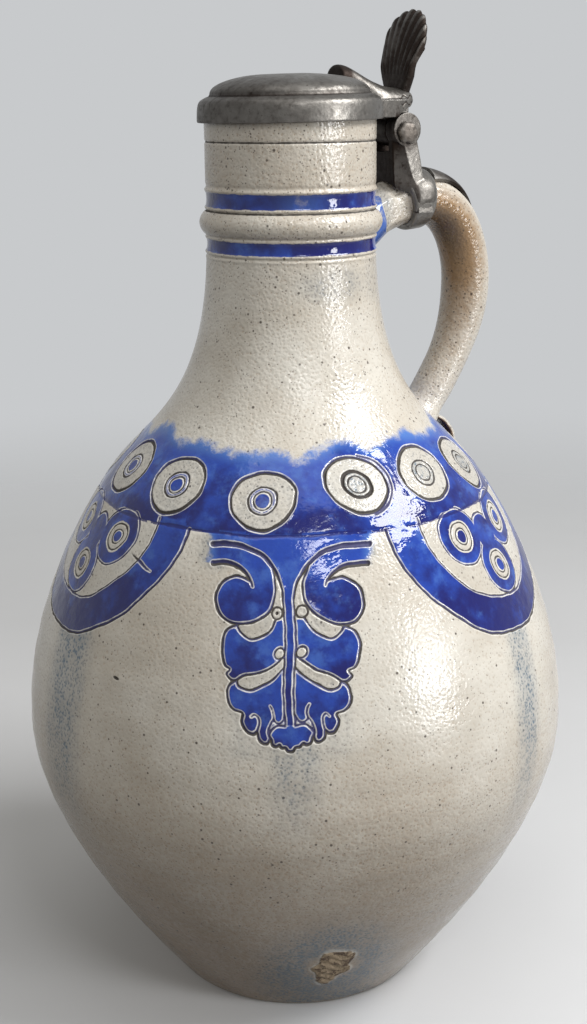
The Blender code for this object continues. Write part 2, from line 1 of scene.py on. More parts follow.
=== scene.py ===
"""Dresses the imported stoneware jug: salt-glazed clay with incised cobalt ornament, and its worn pewter lid mount.

Sizes are in millimetres in the classes and in metres in the meshes. The jug stands on z = 0 with its axis on Z.
The handle and the lid hinge lie in the XZ plane, on the +X side.
"""

import logging
import math
from collections.abc import Callable, Sequence
from dataclasses import dataclass, field
from enum import Enum

import bmesh
import bpy
import numpy as np
from mathutils import Matrix, Vector


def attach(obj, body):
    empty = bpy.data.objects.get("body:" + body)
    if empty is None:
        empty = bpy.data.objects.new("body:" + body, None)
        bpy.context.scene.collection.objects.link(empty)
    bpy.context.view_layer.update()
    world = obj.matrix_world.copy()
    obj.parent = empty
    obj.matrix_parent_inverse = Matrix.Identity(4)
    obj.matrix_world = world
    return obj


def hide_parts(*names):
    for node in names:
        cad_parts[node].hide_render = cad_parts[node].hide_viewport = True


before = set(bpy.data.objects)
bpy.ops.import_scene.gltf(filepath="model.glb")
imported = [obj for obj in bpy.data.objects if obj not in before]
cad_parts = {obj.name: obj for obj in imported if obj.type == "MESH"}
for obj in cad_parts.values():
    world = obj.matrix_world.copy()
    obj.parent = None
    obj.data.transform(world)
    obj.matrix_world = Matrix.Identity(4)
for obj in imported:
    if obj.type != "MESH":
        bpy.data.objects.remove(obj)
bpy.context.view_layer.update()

LOG = logging.getLogger("jug")
MM = 0.001
FAR = 60.0
WELD = 0.002
FULL_TURN = 2 * math.pi
CURVE_STEPS = 7
CAST_CREASE = 42.0
HINGE = (50.8, 375.6)
KNUCKLE_RADIUS = 7.0
Array = np.ndarray
Colour = tuple[float, float, float, float]
Mesh = bpy.types.Mesh
Piece = bpy.types.Object
Finish = bpy.types.Material
Node = bpy.types.Node
NodeTree = bpy.types.NodeTree
Socket = bpy.types.NodeSocket


class Rides(Enum):
    """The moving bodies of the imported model."""

    JUG = "jug"
    LID = "lid"


class Slot(Enum):
    """The record's material slots."""

    STONEWARE = "stoneware"
    PEWTER = "pewter"
    IRON = "pin_iron"


class Paint(Enum):
    """Values that each point of a glazed or metal mesh carries for its material."""

    GROOVE = "groove"
    COBALT = "cobalt"
    VEIL = "veil"
    DRIP = "drip"
    # Warm brown tone of the clay, which also carries painted shade low on the side away from the lamps and inside
    # the handle's tail loop.
    WARM_AND_SHADE = "warm"
    SCAR = "scar"
    POOL = "pool"
    SPECK = "speck"
    FINE = "fine"
    # Dark crust of the metal, which also carries painted shade on faces turned from the lamps, in the hinge slot and
    # under rims.
    CRUST_AND_SHADE = "crust_and_shade"


def smooth(low: float, high: float, value: Array) -> Array:
    """A smooth step from 0 at low to 1 at high."""
    share = np.clip((value - low) / (high - low), 0.0, 1.0)
    return share * share * (3 - 2 * share)


def bell(value: Array, middle: float, half: float) -> Array:
    """A bell curve of height 1 about a middle, which falls to 1/e at its half width."""
    return np.exp(-(((value - middle) / half) ** 2))


def squared(wave: Array, power: float) -> Array:
    """A sine or cosine made fuller by a power below 1, with its sign kept."""
    return np.sign(wave) * np.abs(wave) ** power


def turns(steps: int) -> Array:
    """Evenly spaced angles of one full turn."""
    return FULL_TURN * np.arange(steps) / steps


def wrapped(angle: Array) -> Array:
    """Angles brought between minus and plus half a turn."""
    return (angle + math.pi) % FULL_TURN - math.pi


def running_length(path: Array) -> Array:
    """Running length along a flat path of points."""
    return np.r_[0, np.cumsum(np.hypot(*np.diff(path, axis=0).T))]


def side_normals(path: Array) -> Array:
    """Unit normals to the left of a flat path of points."""
    along = np.gradient(path, axis=0)
    along /= np.hypot(*along.T)[:, None]
    return np.stack([-along[:, 1], along[:, 0]], 1)


def beside(path: Array, x: Array, z: Array) -> tuple[Array, Array]:
    """The numbers of a flat path's points nearest to places, and how far to the path's left the places lie."""
    near = np.argmin((x[:, None] - path[:, 0]) ** 2 + (z[:, None] - path[:, 1]) ** 2, 1)
    out = side_normals(path)[near]
    return near, (x - path[near, 0]) * out[:, 0] + (z - path[near, 1]) * out[:, 1]


def through(points: Sequence[Sequence[float]], steps: int = CURVE_STEPS) -> Array:
    """Runs a smooth curve through points.

    Args:
        points: Rows of coordinates. Further columns, such as a half width, are carried along.
        steps: Points on each stretch between two rows.

    Returns:
        The curve's rows, first and last row included.
    """
    knots = np.asarray(points, float)
    padded = np.vstack([2 * knots[0] - knots[1], knots, 2 * knots[-1] - knots[-2]])
    share = np.linspace(0, 1, steps, endpoint=False)[:, None]
    runs = []
    for a, b, c, d in zip(padded, padded[1:], padded[2:], padded[3:]):
        cubic = (3 * b - a - 3 * c + d) * share**3 + (2 * a - 5 * b + 4 * c - d) * share**2
        runs.append(0.5 * (cubic + (c - a) * share + 2 * b))
    return np.vstack(runs + [knots[-1:]])


def bezier(start: Array, lead: Array, arrive: Array, end: Array, steps: int) -> Array:
    """Points on a cubic Bezier curve, both ends included."""
    t = np.linspace(0, 1, steps)[:, None]
    return start * (1 - t) ** 3 + 3 * lead * t * (1 - t) ** 2 + 3 * arrive * t * t * (1 - t) + end * t**3


def circle(u: float, v: float, radius: float, half: float, steps: int = 28) -> Array:
    """A round incised line as rows of (u, v, half width)."""
    turn = np.linspace(0, FULL_TURN, steps + 1)
    return np.stack([u + radius * np.cos(turn), v + radius * np.sin(turn), np.full(turn.shape, half)], 1)


def edge_distance(line: Array, u: Array, v: Array) -> Array:
    """Distance from points to the edge of an incised line.

    Args:
        line: Rows of (u, v, half width).
        u: Places of the points across the motif.
        v: Places of the points down the wall.

    Returns:
        Distances in millimetres, negative inside the line.
    """
    best = np.full(u.shape, FAR)
    for (u0, v0, w0), (u1, v1, w1) in zip(line, line[1:]):
        run, fall = u1 - u0, v1 - v0
        share = np.clip(((u - u0) * run + (v - v0) * fall) / max(run * run + fall * fall, 1e-9), 0, 1)
        gap = np.hypot(u - u0 - share * run, v - v0 - share * fall) - w0 - (w1 - w0) * share
        np.minimum(best, gap, out=best)
    return best


def inside_distance(outline: Array, u: Array, v: Array) -> Array:
    """Signed distance to a closed outline of (u, v) rows, positive inside."""
    closed = np.vstack([outline, outline[:1]])
    crossed = np.zeros(u.shape, bool)
    for (u0, v0), (u1, v1) in zip(closed, closed[1:]):
        spans = (v0 > v) != (v1 > v)
        crossed ^= spans & (u < u0 + (v - v0) * (u1 - u0) / (v1 - v0 if v1 != v0 else 1e-9))
    flat = np.column_stack([closed, np.zeros(len(closed))])
    return np.where(crossed, 1.0, -1.0) * edge_distance(flat, u, v)


def shade_smooth(mesh: Mesh, sharp: float | None = None) -> None:
    """Shades a mesh smooth, with edges over the sharp angle in degrees kept crisp."""
    mesh.shade_smooth()
    if sharp is not None:
        mesh.set_sharp_from_angle(angle=math.radians(sharp))


def mesh_from(name: str, points: Array, faces: Sequence[Sequence[int]]) -> Mesh:
    """A mesh from points in millimetres and lists of corner numbers."""
    mesh = bpy.data.meshes.new(name)
    mesh.from_pydata((np.asarray(points) * MM).tolist(), [], faces)
    mesh.update()
    return mesh


def grid_faces(rows: int, columns: int, wrap: bool, start: int = 0) -> list[tuple[int, int, int, int]]:
    """Quads between rows of points, closed round each row when wrap is set."""
    faces = []
    for row in range(rows - 1):
        for column in range(columns if wrap else columns - 1):
            after = (column + 1) % columns
            low, high = start + row * columns, start + (row + 1) * columns
            faces.append((low + column, low + after, high + after, high + column))
    return faces


def fix_normals(mesh: Mesh) -> None:
    """Turns all faces of a closed mesh outward."""
    shape = bmesh.new()
    shape.from_mesh(mesh)
    bmesh.ops.recalc_face_normals(shape, faces=shape.faces)
    shape.to_mesh(mesh)
    shape.free()


def solid(name: str, points: Array, faces: Sequence[Sequence[int]]) -> Piece:
    """A piece of closed forms with all faces outward."""
    mesh = mesh_from(name, points, faces)
    fix_normals(mesh)
    return bpy.data.objects.new(name, mesh)


def mend(mesh: Mesh) -> None:
    """Welds points that lie on each other and closes the slits that a cut can leave."""
    shape = bmesh.new()
    shape.from_mesh(mesh)
    bmesh.ops.remove_doubles(shape, verts=shape.verts, dist=WELD * MM)
    slits = [edge for edge in shape.edges if len(edge.link_faces) == 1]
    bmesh.ops.holes_fill(shape, edges=slits, sides=0)
    shape.to_mesh(mesh)
    shape.free()


def paint(mesh: Mesh, values: dict[Paint, Array | float]) -> None:
    """Stores a value per point for the material, under the paint's name."""
    count = len(mesh.vertices)
    for kind, value in values.items():
        layer = mesh.attributes.get(kind.value) or mesh.attributes.new(kind.value, "FLOAT", "POINT")
        layer.data.foreach_set("value", np.broadcast_to(np.asarray(value, np.float32), (count,)).copy())


def places(mesh: Mesh) -> Array:
    """A mesh's points in millimetres."""
    flat = np.zeros(len(mesh.vertices) * 3, np.float32)
    mesh.vertices.foreach_get("co", flat)
    return flat.reshape(-1, 3).astype(float) / MM


def move(mesh: Mesh, points: Array) -> None:
    """Sets a mesh's points, given in millimetres."""
    mesh.vertices.foreach_set("co", (points * MM).astype(np.float32).ravel())


def facing(mesh: Mesh) -> Array:
    """The normals at the mesh's points."""
    flat = np.empty(len(mesh.vertices) * 3, np.float32)
    mesh.vertex_normals.foreach_get("vector", flat)
    return flat.reshape(-1, 3)


def baked(piece: Piece) -> None:
    """Applies a piece's modifiers to its mesh."""
    bpy.context.view_layer.update()
    graph = bpy.context.evaluated_depsgraph_get()
    mesh = bpy.data.meshes.new_from_object(piece.evaluated_get(graph))
    old = piece.data
    piece.modifiers.clear()
    piece.data = mesh
    bpy.data.meshes.remove(old)
    mesh.name = piece.name


def melded(piece: Piece, tool: Piece, operation: str) -> None:
    """Joins a closed form to a piece that is linked to the scene, or cuts it out, and removes the form."""
    bpy.context.scene.collection.objects.link(tool)
    change = piece.modifiers.new("meld", "BOOLEAN")
    change.operation, change.solver, change.object = operation, "EXACT", tool
    baked(piece)
    bpy.data.objects.remove(tool, do_unlink=True)


def finished(mesh: Mesh, metal: Finish, crust_and_shade: Array | float, crease: float) -> Piece:
    """Makes a metal piece of a closed mesh.

    Args:
        mesh: The mesh, which gives the piece its name.
        metal: The metal.
        crust_and_shade: How dark the metal is from its crust and from painted shade, one value or one per point.
        crease: Angle in degrees over which an edge stays crisp.

    Returns:
        The piece as an object.
    """
    fix_normals(mesh)
    paint(mesh, {Paint.CRUST_AND_SHADE: crust_and_shade})
    shade_smooth(mesh, crease)
    mesh.materials.append(metal)
    return bpy.data.objects.new(mesh.name, mesh)


class Graph:
    """Adds nodes to one node tree and links them."""

    def __init__(self, tree: NodeTree) -> None:
        """Holds the tree that the nodes go into."""
        self.tree = tree

    def add(self, kind: str, feeds: dict | None = None, **settings: object) -> Node:
        """Adds a node.

        Args:
            kind: The node's type name.
            feeds: Values or sockets for its inputs, by name or number.
            settings: Properties of the node.

        Returns:
            The new node.
        """
        node = self.tree.nodes.new(kind)
        for name, value in settings.items():
            setattr(node, name, value)
        for key, value in (feeds or {}).items():
            if isinstance(value, Socket):
                self.tree.links.new(value, node.inputs[key])
            else:
                node.inputs[key].default_value = value
        return node

    def link(self, value: Socket, node: Node, name: str) -> None:
        """Feeds a value to a node's input."""
        self.tree.links.new(value, node.inputs[name])

    def math(self, operation: str, first: object, second: object, clamp: bool = False) -> Socket:
        """The result of a sum on two values."""
        return self.add("ShaderNodeMath", {0: first, 1: second}, operation=operation, use_clamp=clamp).outputs[0]

    def times(self, first: object, second: object, clamp: bool = False) -> Socket:
        """Two values multiplied."""
        return self.math("MULTIPLY", first, second, clamp)

    def plus(self, first: object, second: object) -> Socket:
        """Two values added."""
        return self.math("ADD", first, second)

    def blend(self, share: object, first: object, second: object) -> Socket:
        """A mix of two colours."""
        return self.add("ShaderNodeMix", {0: share, 6: first, 7: second}, data_type="RGBA").outputs[2]

    def step(self, value: object, low: object, high: object, floor: float = 0.0, top: float = 1.0) -> Socket:
        """A smooth step of a value between two levels."""
        feeds = {0: value, 1: low, 2: high, 3: floor, 4: top}
        return self.add("ShaderNodeMapRange", feeds, interpolation_type="SMOOTHSTEP").outputs[0]

    def painted(self, kind: Paint) -> Socket:
        """The value that the mesh's points carry."""
        return self.add("ShaderNodeAttribute", attribute_name=kind.value).outputs["Fac"]

    def noise(self, vector: Socket, scale: float, detail: float = 2.0, rough: float = 0.5) -> Socket:
        """A cloudy value from 0 to 1 with about scale clouds to the metre."""
        feeds = {"Vector": vector, "Scale": scale, "Detail": detail, "Roughness": rough}
        return self.add("ShaderNodeTexNoise", feeds).outputs[0]

    def place(self, tree: NodeTree, where: Socket, **values: object) -> Socket:
        """The only output of a node group that is placed with its own values."""
        return self.add("ShaderNodeGroup", {"Vector": where, **values}, node_tree=tree).outputs[0]


def srgb(red: float, green: float, blue: float) -> Colour:
    """A colour given as it looks on a screen, 0 to 255, in linear values."""
    linear = [(c / 255 / 12.92) if c < 10.3 else ((c / 255 + 0.055) / 1.055) ** 2.4 for c in (red, green, blue)]
    return (*linear, 1.0)


def new_material(name: str) -> tuple[Finish, Graph, Node, Socket]:
    """A new material with its graph, its shader and the piece's own coordinates."""
    material = bpy.data.materials.new(name)
    material.use_nodes = True
    graph = Graph(material.node_tree)
    shader = material.node_tree.nodes["Principled BSDF"]
    return material, graph, shader, graph.add("ShaderNodeTexCoord").outputs["Object"]


class Effects:
    """Node groups that more than one material uses."""

    def __init__(self) -> None:
        """Builds each group once."""
        self.mottle = self._mottle()
        self.pits = self._pits()
        self.specks = self._specks()

    @staticmethod
    def _group(name: str, inputs: dict[str, float], output: str) -> tuple[Graph, Node, Socket]:
        """Starts a node group.

        Args:
            name: The group's name.
            inputs: Names and first values of its number inputs, after Vector.
            output: Name of its only output.

        Returns:
            The graph, the input node and the output's socket.
        """
        tree = bpy.data.node_groups.new(name, "ShaderNodeTree")
        tree.interface.new_socket("Vector", in_out="INPUT", socket_type="NodeSocketVector")
        for key, value in inputs.items():
            tree.interface.new_socket(key, in_out="INPUT", socket_type="NodeSocketFloat").default_value = value
        tree.interface.new_socket(output, in_out="OUTPUT", socket_type="NodeSocketFloat")
        graph = Graph(tree)
        return graph, graph.add("NodeGroupInput"), graph.add("NodeGroupOutput").inputs[0]

    def _mottle(self) -> NodeTree:
        """Soft blotches, as in clay bodies and on oxidised metal."""
        graph, given, out = self._group("mottle", {"Scale": 60.0, "Low": 0.4, "High": 0.6}, "Mask")
        cloud = graph.noise(given.outputs["Vector"], 1.0, 4.0, 0.6)
        graph.link(given.outputs["Scale"], cloud.node, "Scale")
        graph.tree.links.new(graph.step(cloud, given.outputs["Low"], given.outputs["High"]), out)
        return graph.tree

    def _pits(self) -> NodeTree:
        """Small round dimples and swells, as in a salt glaze or a sand casting."""
        graph, given, out = self._group("pits", {"Scale": 500.0, "Fine": 0.4}, "Height")
        cells = graph.add("ShaderNodeTexVoronoi", {"Vector": given.outputs["Vector"]}, feature="SMOOTH_F1")
        graph.link(given.outputs["Scale"], cells, "Scale")
        cloud = graph.noise(given.outputs["Vector"], 1.0, 2.0)
        graph.link(graph.times(given.outputs["Scale"], 1.7), cloud.node, "Scale")
        fine = graph.times(cloud, given.outputs["Fine"])
        graph.tree.links.new(graph.plus(cells.outputs["Distance"], fine), out)
        return graph.tree

    def _specks(self) -> NodeTree:
        """Scattered dark spots of uneven size."""
        graph, given, out = self._group("specks", {"Scale": 400.0, "Share": 0.4, "Size": 0.2}, "Mask")
        cells = graph.add("ShaderNodeTexVoronoi", {"Vector": given.outputs["Vector"]})
        graph.link(given.outputs["Scale"], cells, "Scale")
        draw = graph.add("ShaderNodeSeparateColor", {0: cells.outputs["Color"]})
        kept = graph.math("LESS_THAN", draw.outputs[0], given.outputs["Share"])
        size = graph.times(given.outputs["Size"], graph.plus(draw.outputs[1], 0.35))
        inner = graph.times(size, 0.55)
        spot = graph.step(cells.outputs["Distance"], size, inner)
        graph.tree.links.new(graph.times(spot, kept), out)
        return graph.tree


@dataclass(frozen=True)
class SaltGlaze:
    """Grey-beige salt glaze over clay, with cobalt paint and incised lines whose edges carry a pale rim, partly bare
    clay and partly a painted highlight.
    """

    pale: Colour = srgb(194, 190, 181)
    middle: Colour = srgb(176, 169, 157)
    # Brown and speck also serve as painted shade where the warm value carries shade.
    brown: Colour = srgb(134, 108, 78)
    speck: Colour = srgb(50, 38, 30)
    deep_blue: Colour = srgb(11, 17, 89)
    blue: Colour = srgb(26, 59, 148)
    thin_blue: Colour = srgb(68, 106, 172)
    run_blue: Colour = srgb(84, 101, 115)
    line: Colour = srgb(38, 31, 26)
    bare_edge_and_highlight: Colour = srgb(216, 214, 208)
    scar: Colour = srgb(178, 160, 136)
    scar_dark: Colour = srgb(84, 68, 54)
    roughness: float = 0.15

    def material(self, effects: Effects) -> Finish:
        """The glaze's material.

        Args:
            effects: The shared node groups.

        Returns:
            A material that reads the values painted on the mesh.
        """
        material, graph, shader, where = new_material("salt_glaze")
        peel = graph.place(effects.pits, where, Scale=760.0, Fine=0.5)
        area = self._painted_area(graph, where)
        cobalt = self._cobalt_share(graph, where, area)
        groove = graph.painted(Paint.GROOVE)
        wander = graph.step(graph.noise(where, 420.0), 0.2, 0.8, -0.12, 0.12)
        cut = graph.step(graph.plus(groove, wander), 0.16, -0.12)
        colour = self._clay(graph, effects, where, peel)
        colour = self._runs(graph, where, peel, colour)
        colour = graph.blend(cobalt, colour, self._blue(graph, where))
        # A pale edge along the incised lines, strongest beside cobalt: partly bare clay where the cobalt draws back
        # from the burr, partly a painted highlight on the burr.
        by_blue = graph.step(graph.painted(Paint.COBALT), -1.4, -0.2, 0.12, 0.85)
        patchy = graph.step(graph.noise(where, 300.0, 3.0), 0.3, 0.6, 0.5, 1.0)
        edge = graph.times(graph.step(groove, 0.58, 0.28), graph.times(by_blue, patchy))
        colour = graph.blend(edge, colour, self.bare_edge_and_highlight)
        line = graph.blend(graph.times(cobalt, 0.75), self.line, self.deep_blue)
        colour = graph.blend(graph.times(cut, 0.95), colour, line)
        colour = graph.blend(graph.step(graph.painted(Paint.FINE), 0.25, 0.7, 0.0, 0.85), colour, self.deep_blue)
        # The same pale colour makes the ring round the kiln scar.
        prop = graph.painted(Paint.SCAR)
        colour = graph.blend(graph.step(prop, 0.0, 0.3, 0.0, 0.5), colour, self.bare_edge_and_highlight)
        scar = graph.step(graph.plus(prop, graph.noise(where, 300.0)), 0.85, 1.0)
        cracks = graph.place(effects.mottle, where, Scale=300.0, Low=0.5, High=0.6)
        colour = graph.blend(scar, colour, graph.blend(cracks, self.scar, self.scar_dark))
        rough = graph.step(graph.noise(where, 60.0), 0.3, 0.7, self.roughness - 0.04, self.roughness + 0.1)
        rough = graph.math("SUBTRACT", rough, graph.times(cobalt, 0.1))
        dry = graph.math("MAXIMUM", cut, scar)
        rough = graph.plus(rough, graph.times(dry, 0.55))
        graph.link(colour, shader, "Base Color")
        graph.link(rough, shader, "Roughness")
        grainy = graph.step(graph.painted(Paint.SPECK), 0.2, 0.7, 0.55, 1.0)
        calm = graph.times(grainy, graph.math("SUBTRACT", 1.0, graph.times(cobalt, 0.92)))
        flow = graph.times(cobalt, graph.noise(where, 150.0, 3.0))
        height = graph.plus(graph.times(peel, calm), graph.times(flow, 1.6))
        swell = graph.add("ShaderNodeBump", {"Strength": 0.3, "Distance": 0.0009, "Height": height})
        crumb = graph.times(scar, graph.noise(where, 500.0, 4.0, 0.7))
        rough_scar = {"Strength": 0.8, "Distance": 0.002, "Height": crumb, "Normal": swell.outputs[0]}
        graph.link(graph.add("ShaderNodeBump", rough_scar).outputs[0], shader, "Normal")
        return material

    def _clay(self, graph: Graph, effects: Effects, where: Socket, peel: Socket) -> Socket:
        """The glazed clay's own colour with its specks, brown flashes and darker dimples, and the painted shade that
        the warm value carries.
        """
        warm = graph.painted(Paint.WARM_AND_SHADE)
        cloud = graph.place(effects.mottle, where, Scale=24.0, Low=0.3, High=0.7)
        colour = graph.blend(cloud, self.middle, self.pale)
        grain = graph.times(graph.noise(where, 380.0, 4.0, 0.7), 0.5)
        # The warm value browns the clay: real flashes and warmer clay, and painted shade low on the shaded side. At
        # its highest it turns to the speck colour, on the handle's darkest flash and as painted shade inside the
        # tail's loop.
        colour = graph.blend(graph.step(graph.plus(warm, grain), 0.35, 1.2), colour, self.brown)
        colour = graph.blend(graph.step(warm, 0.95, 1.45, 0.0, 0.6), colour, self.speck)
        dimple = graph.times(graph.step(peel, 0.62, 0.28), graph.step(warm, 0.0, 0.6, 0.24, 0.58))
        colour = graph.blend(dimple, colour, self.brown)
        crowd = graph.painted(Paint.SPECK)
        share = graph.plus(graph.times(crowd, 0.5), 0.12)
        large = graph.place(effects.specks, where, Scale=370.0, Share=share, Size=0.21)
        small = graph.place(effects.specks, where, Scale=860.0, Share=share, Size=0.3)
        faint = graph.times(small, graph.step(crowd, 0.0, 1.0, 0.45, 0.7))
        spots = graph.math("MAXIMUM", graph.times(large, 0.82), faint)
        return graph.blend(spots, colour, self.speck)

    def _runs(self, graph: Graph, where: Socket, peel: Socket, clay: Socket) -> Socket:
        """The clay under thin cobalt that ran down it or was wiped over it."""
        stretched = graph.add("ShaderNodeMapping", {"Vector": where, "Scale": (1.0, 1.0, 0.3)}).outputs[0]
        streak = graph.step(graph.noise(stretched, 170.0, 4.0, 0.65), 0.3, 0.7, 0.5, 1.0)
        grain = graph.step(peel, 0.8, 0.25, 0.4, 1.3)
        share = graph.times(graph.painted(Paint.DRIP), graph.times(streak, grain), clamp=True)
        return graph.blend(share, clay, self.run_blue)

    @staticmethod
    def _painted_area(graph: Graph, where: Socket) -> Socket:
        """The areas that were filled with cobalt, with the brush's uneven edge."""
        ragged = graph.step(graph.noise(where, 260.0, 4.0, 0.6), 0.25, 0.75, -0.2, 0.2)
        return graph.step(graph.plus(graph.painted(Paint.COBALT), ragged), -0.15, 0.25)

    @staticmethod
    def _cobalt_share(graph: Graph, where: Socket, area: Socket) -> Socket:
        """How much cobalt covers the clay, from the filled areas and the washed upper edge."""
        cloud = graph.step(graph.noise(where, 75.0, 5.0, 0.7), 0.2, 0.8, -0.8, 0.8)
        veil = graph.step(graph.plus(graph.painted(Paint.VEIL), cloud), -0.1, 0.9)
        return graph.times(area, veil)

    def _blue(self, graph: Graph, where: Socket) -> Socket:
        """The cobalt's colour, deep where it pools and pale where it is washed out."""
        cloud = graph.step(graph.noise(where, 85.0, 4.0, 0.6), 0.2, 0.8, -0.5, 0.5)
        thick = graph.step(graph.plus(graph.painted(Paint.POOL), cloud), 0.1, 1.05)
        blue = graph.blend(thick, self.blue, self.deep_blue)
        worn = graph.math("SUBTRACT", graph.noise(where, 120.0, 4.0, 0.65), graph.times(thick, 0.16))
        thin = graph.times(graph.step(worn, 0.42, 0.66), 0.4)
        edge = graph.step(graph.painted(Paint.VEIL), 1.8, 0.2)
        return graph.blend(graph.math("MAXIMUM", thin, edge), blue, self.thin_blue)


@dataclass(frozen=True)
class Metal:
    """Old cast metal: a grey ground, a dark crust in the hollows and bright worn edges. The crust colour also paints
    shade where the mesh carries it.
    """

    name: str
    ground: Colour
    crust: Colour
    bright: Colour
    roughness: float
    pitting: float
    metallic: float = 0.92

    def material(self, effects: Effects) -> Finish:
        """The metal's material.

        Args:
            effects: The shared node groups.

        Returns:
            A material that darkens where the mesh carries crust or painted shade.
        """
        material, graph, shader, where = new_material(self.name)
        # Darkening towards the crust colour: real crust, and painted shade on faces turned from the lamps and in
        # recesses.
        crust_and_shade = graph.painted(Paint.CRUST_AND_SHADE)
        wide = graph.place(effects.mottle, where, Scale=85.0, Low=0.3, High=0.75)
        small = graph.place(effects.mottle, where, Scale=420.0, Low=0.45, High=0.8)
        spots = graph.place(effects.specks, where, Scale=700.0, Share=0.25, Size=0.3)
        dark = graph.plus(graph.times(wide, 0.35), graph.times(small, 0.3))
        dark = graph.plus(dark, crust_and_shade)
        dark = graph.math("MAXIMUM", dark, graph.times(spots, 0.7), clamp=True)
        colour = graph.blend(dark, self.ground, self.crust)
        raised = graph.step(graph.add("ShaderNodeNewGeometry").outputs["Pointiness"], 0.515, 0.58)
        rubbed = graph.times(raised, graph.step(small, 0.9, 0.2, 0.25, 0.9))
        clean = graph.step(crust_and_shade, 0.75, 0.2)
        colour = graph.blend(graph.times(rubbed, clean), colour, self.bright)
        stretched = graph.add("ShaderNodeMapping", {"Vector": where, "Scale": (1.0, 0.18, 1.0)}).outputs[0]
        scratch = graph.step(graph.noise(stretched, 900.0, 3.0, 0.7), 0.3, 0.7)
        rough = graph.plus(graph.times(scratch, 0.12), self.roughness)
        rough = graph.plus(rough, graph.times(dark, 0.22))
        pits = graph.place(effects.pits, where, Scale=380.0, Fine=0.8)
        bump = graph.add("ShaderNodeBump", {"Strength": self.pitting, "Distance": 0.0008, "Height": pits})
        graph.link(colour, shader, "Base Color")
        graph.link(rough, shader, "Roughness")
        graph.link(bump.outputs[0], shader, "Normal")
        shader.inputs["Metallic"].default_value = self.metallic
        return material


# Ground, crust that is also the colour of painted shade, worn-edge colour, roughness and pitting.
PEWTER = Metal("old_pewter", srgb(128, 125, 120), srgb(44, 37, 33), srgb(180, 178, 173), 0.28, 0.2)
IRON = Metal("pin_iron", srgb(106, 100, 94), srgb(46, 38, 33), srgb(150, 146, 140), 0.42, 0.3)


@dataclass(frozen=True)
class FloorPaint:
    """Plain pale studio floor that runs out into the backdrop."""

    colour: Colour = srgb(198, 199, 201)
    shade: Colour = srgb(192, 193, 195)
    backdrop: Colour = srgb(200, 202, 204)
    fade_from: float = 0.35
    fade_to: float = 1.3
    roughness: float = 0.9
    gloss: float = 0.1

    def material(self, effects: Effects) -> Finish:
        """The floor's material, barely mottled and see-through far from the jug."""
        material, graph, shader, where = new_material("studio_floor")
        cloud = graph.place(effects.mottle, where, Scale=3.0, Low=0.2, High=0.8)
        graph.link(graph.blend(cloud, self.colour, self.shade), shader, "Base Color")
        away = graph.add("ShaderNodeVectorMath", {0: where}, operation="LENGTH").outputs["Value"]
        graph.link(graph.step(away, self.fade_to, self.fade_from), shader, "Alpha")
        shader.inputs["Roughness"].default_value = self.roughness
        shader.inputs["Specular IOR Level"].default_value = self.gloss
        return material


@dataclass(frozen=True)
class Outline:
    """The thrown body's outer outline, from the foot to the lip."""

    foot_radius: float = 57.8
    foot_flare: float = 37.8
    foot_pull: float = 107.9
    belly_radius: float = 119.5
    belly_height: float = 126.4
    belly_pull_down: float = 6.7
    belly_pull_up: float = 53.6
    shoulder_radius: float = 80.0
    shoulder_height: float = 233.7
    shoulder_slope: float = 37.3
    shoulder_pull_down: float = 3.6
    shoulder_pull_up: float = 28.8
    neck_radius: float = 35.7
    neck_height: float = 334.9
    neck_pull: float = 70.3
    lip_height: float = 384.7
    wall: float = 6.0
    floor: float = 10.0

    def curve(self, steps: int = 160) -> Array:
        """Closely spaced (radius, height) rows from the foot to the lip, with no bead."""
        foot = np.array([self.foot_radius, 0.0])
        belly = np.array([self.belly_radius, self.belly_height])
        shoulder = np.array([self.shoulder_radius, self.shoulder_height])
        neck = np.array([self.neck_radius, self.neck_height])
        flare, slope = math.radians(self.foot_flare), math.radians(self.shoulder_slope)
        out = np.array([math.sin(flare), math.cos(flare)])
        back = np.array([-math.sin(slope), math.cos(slope)])
        up = np.array([0.0, 1.0])
        lower = bezier(foot, foot + out * self.foot_pull, belly - up * self.belly_pull_down, belly, steps)
        upper = bezier(
            belly, belly + up * self.belly_pull_up, shoulder - back * self.shoulder_pull_down, shoulder, steps
        )
        throat = bezier(
            shoulder, shoulder + back * self.shoulder_pull_up, neck - up * self.neck_pull, neck, steps
        )
        collar = np.linspace(neck, np.array([self.neck_radius, self.lip_height]), steps // 2)
        return np.vstack([lower[:-1], upper[:-1], throat[:-1], collar])

    def radius_at(self, height: Array | float) -> Array:
        """The outline's radius at heights."""
        curve = self.curve()
        return np.interp(height, curve[:, 1], curve[:, 0])


@dataclass(frozen=True)
class Drawn:
    """What a motif puts on the wall.

    Incised lines and cobalt are signed distances. The pooled cobalt's depth and the free clay's tint are 0 to 1.
    """

    groove: Array
    cobalt: Array
    pool: Array | float = 0.5
    tint: Array | float = 0.0


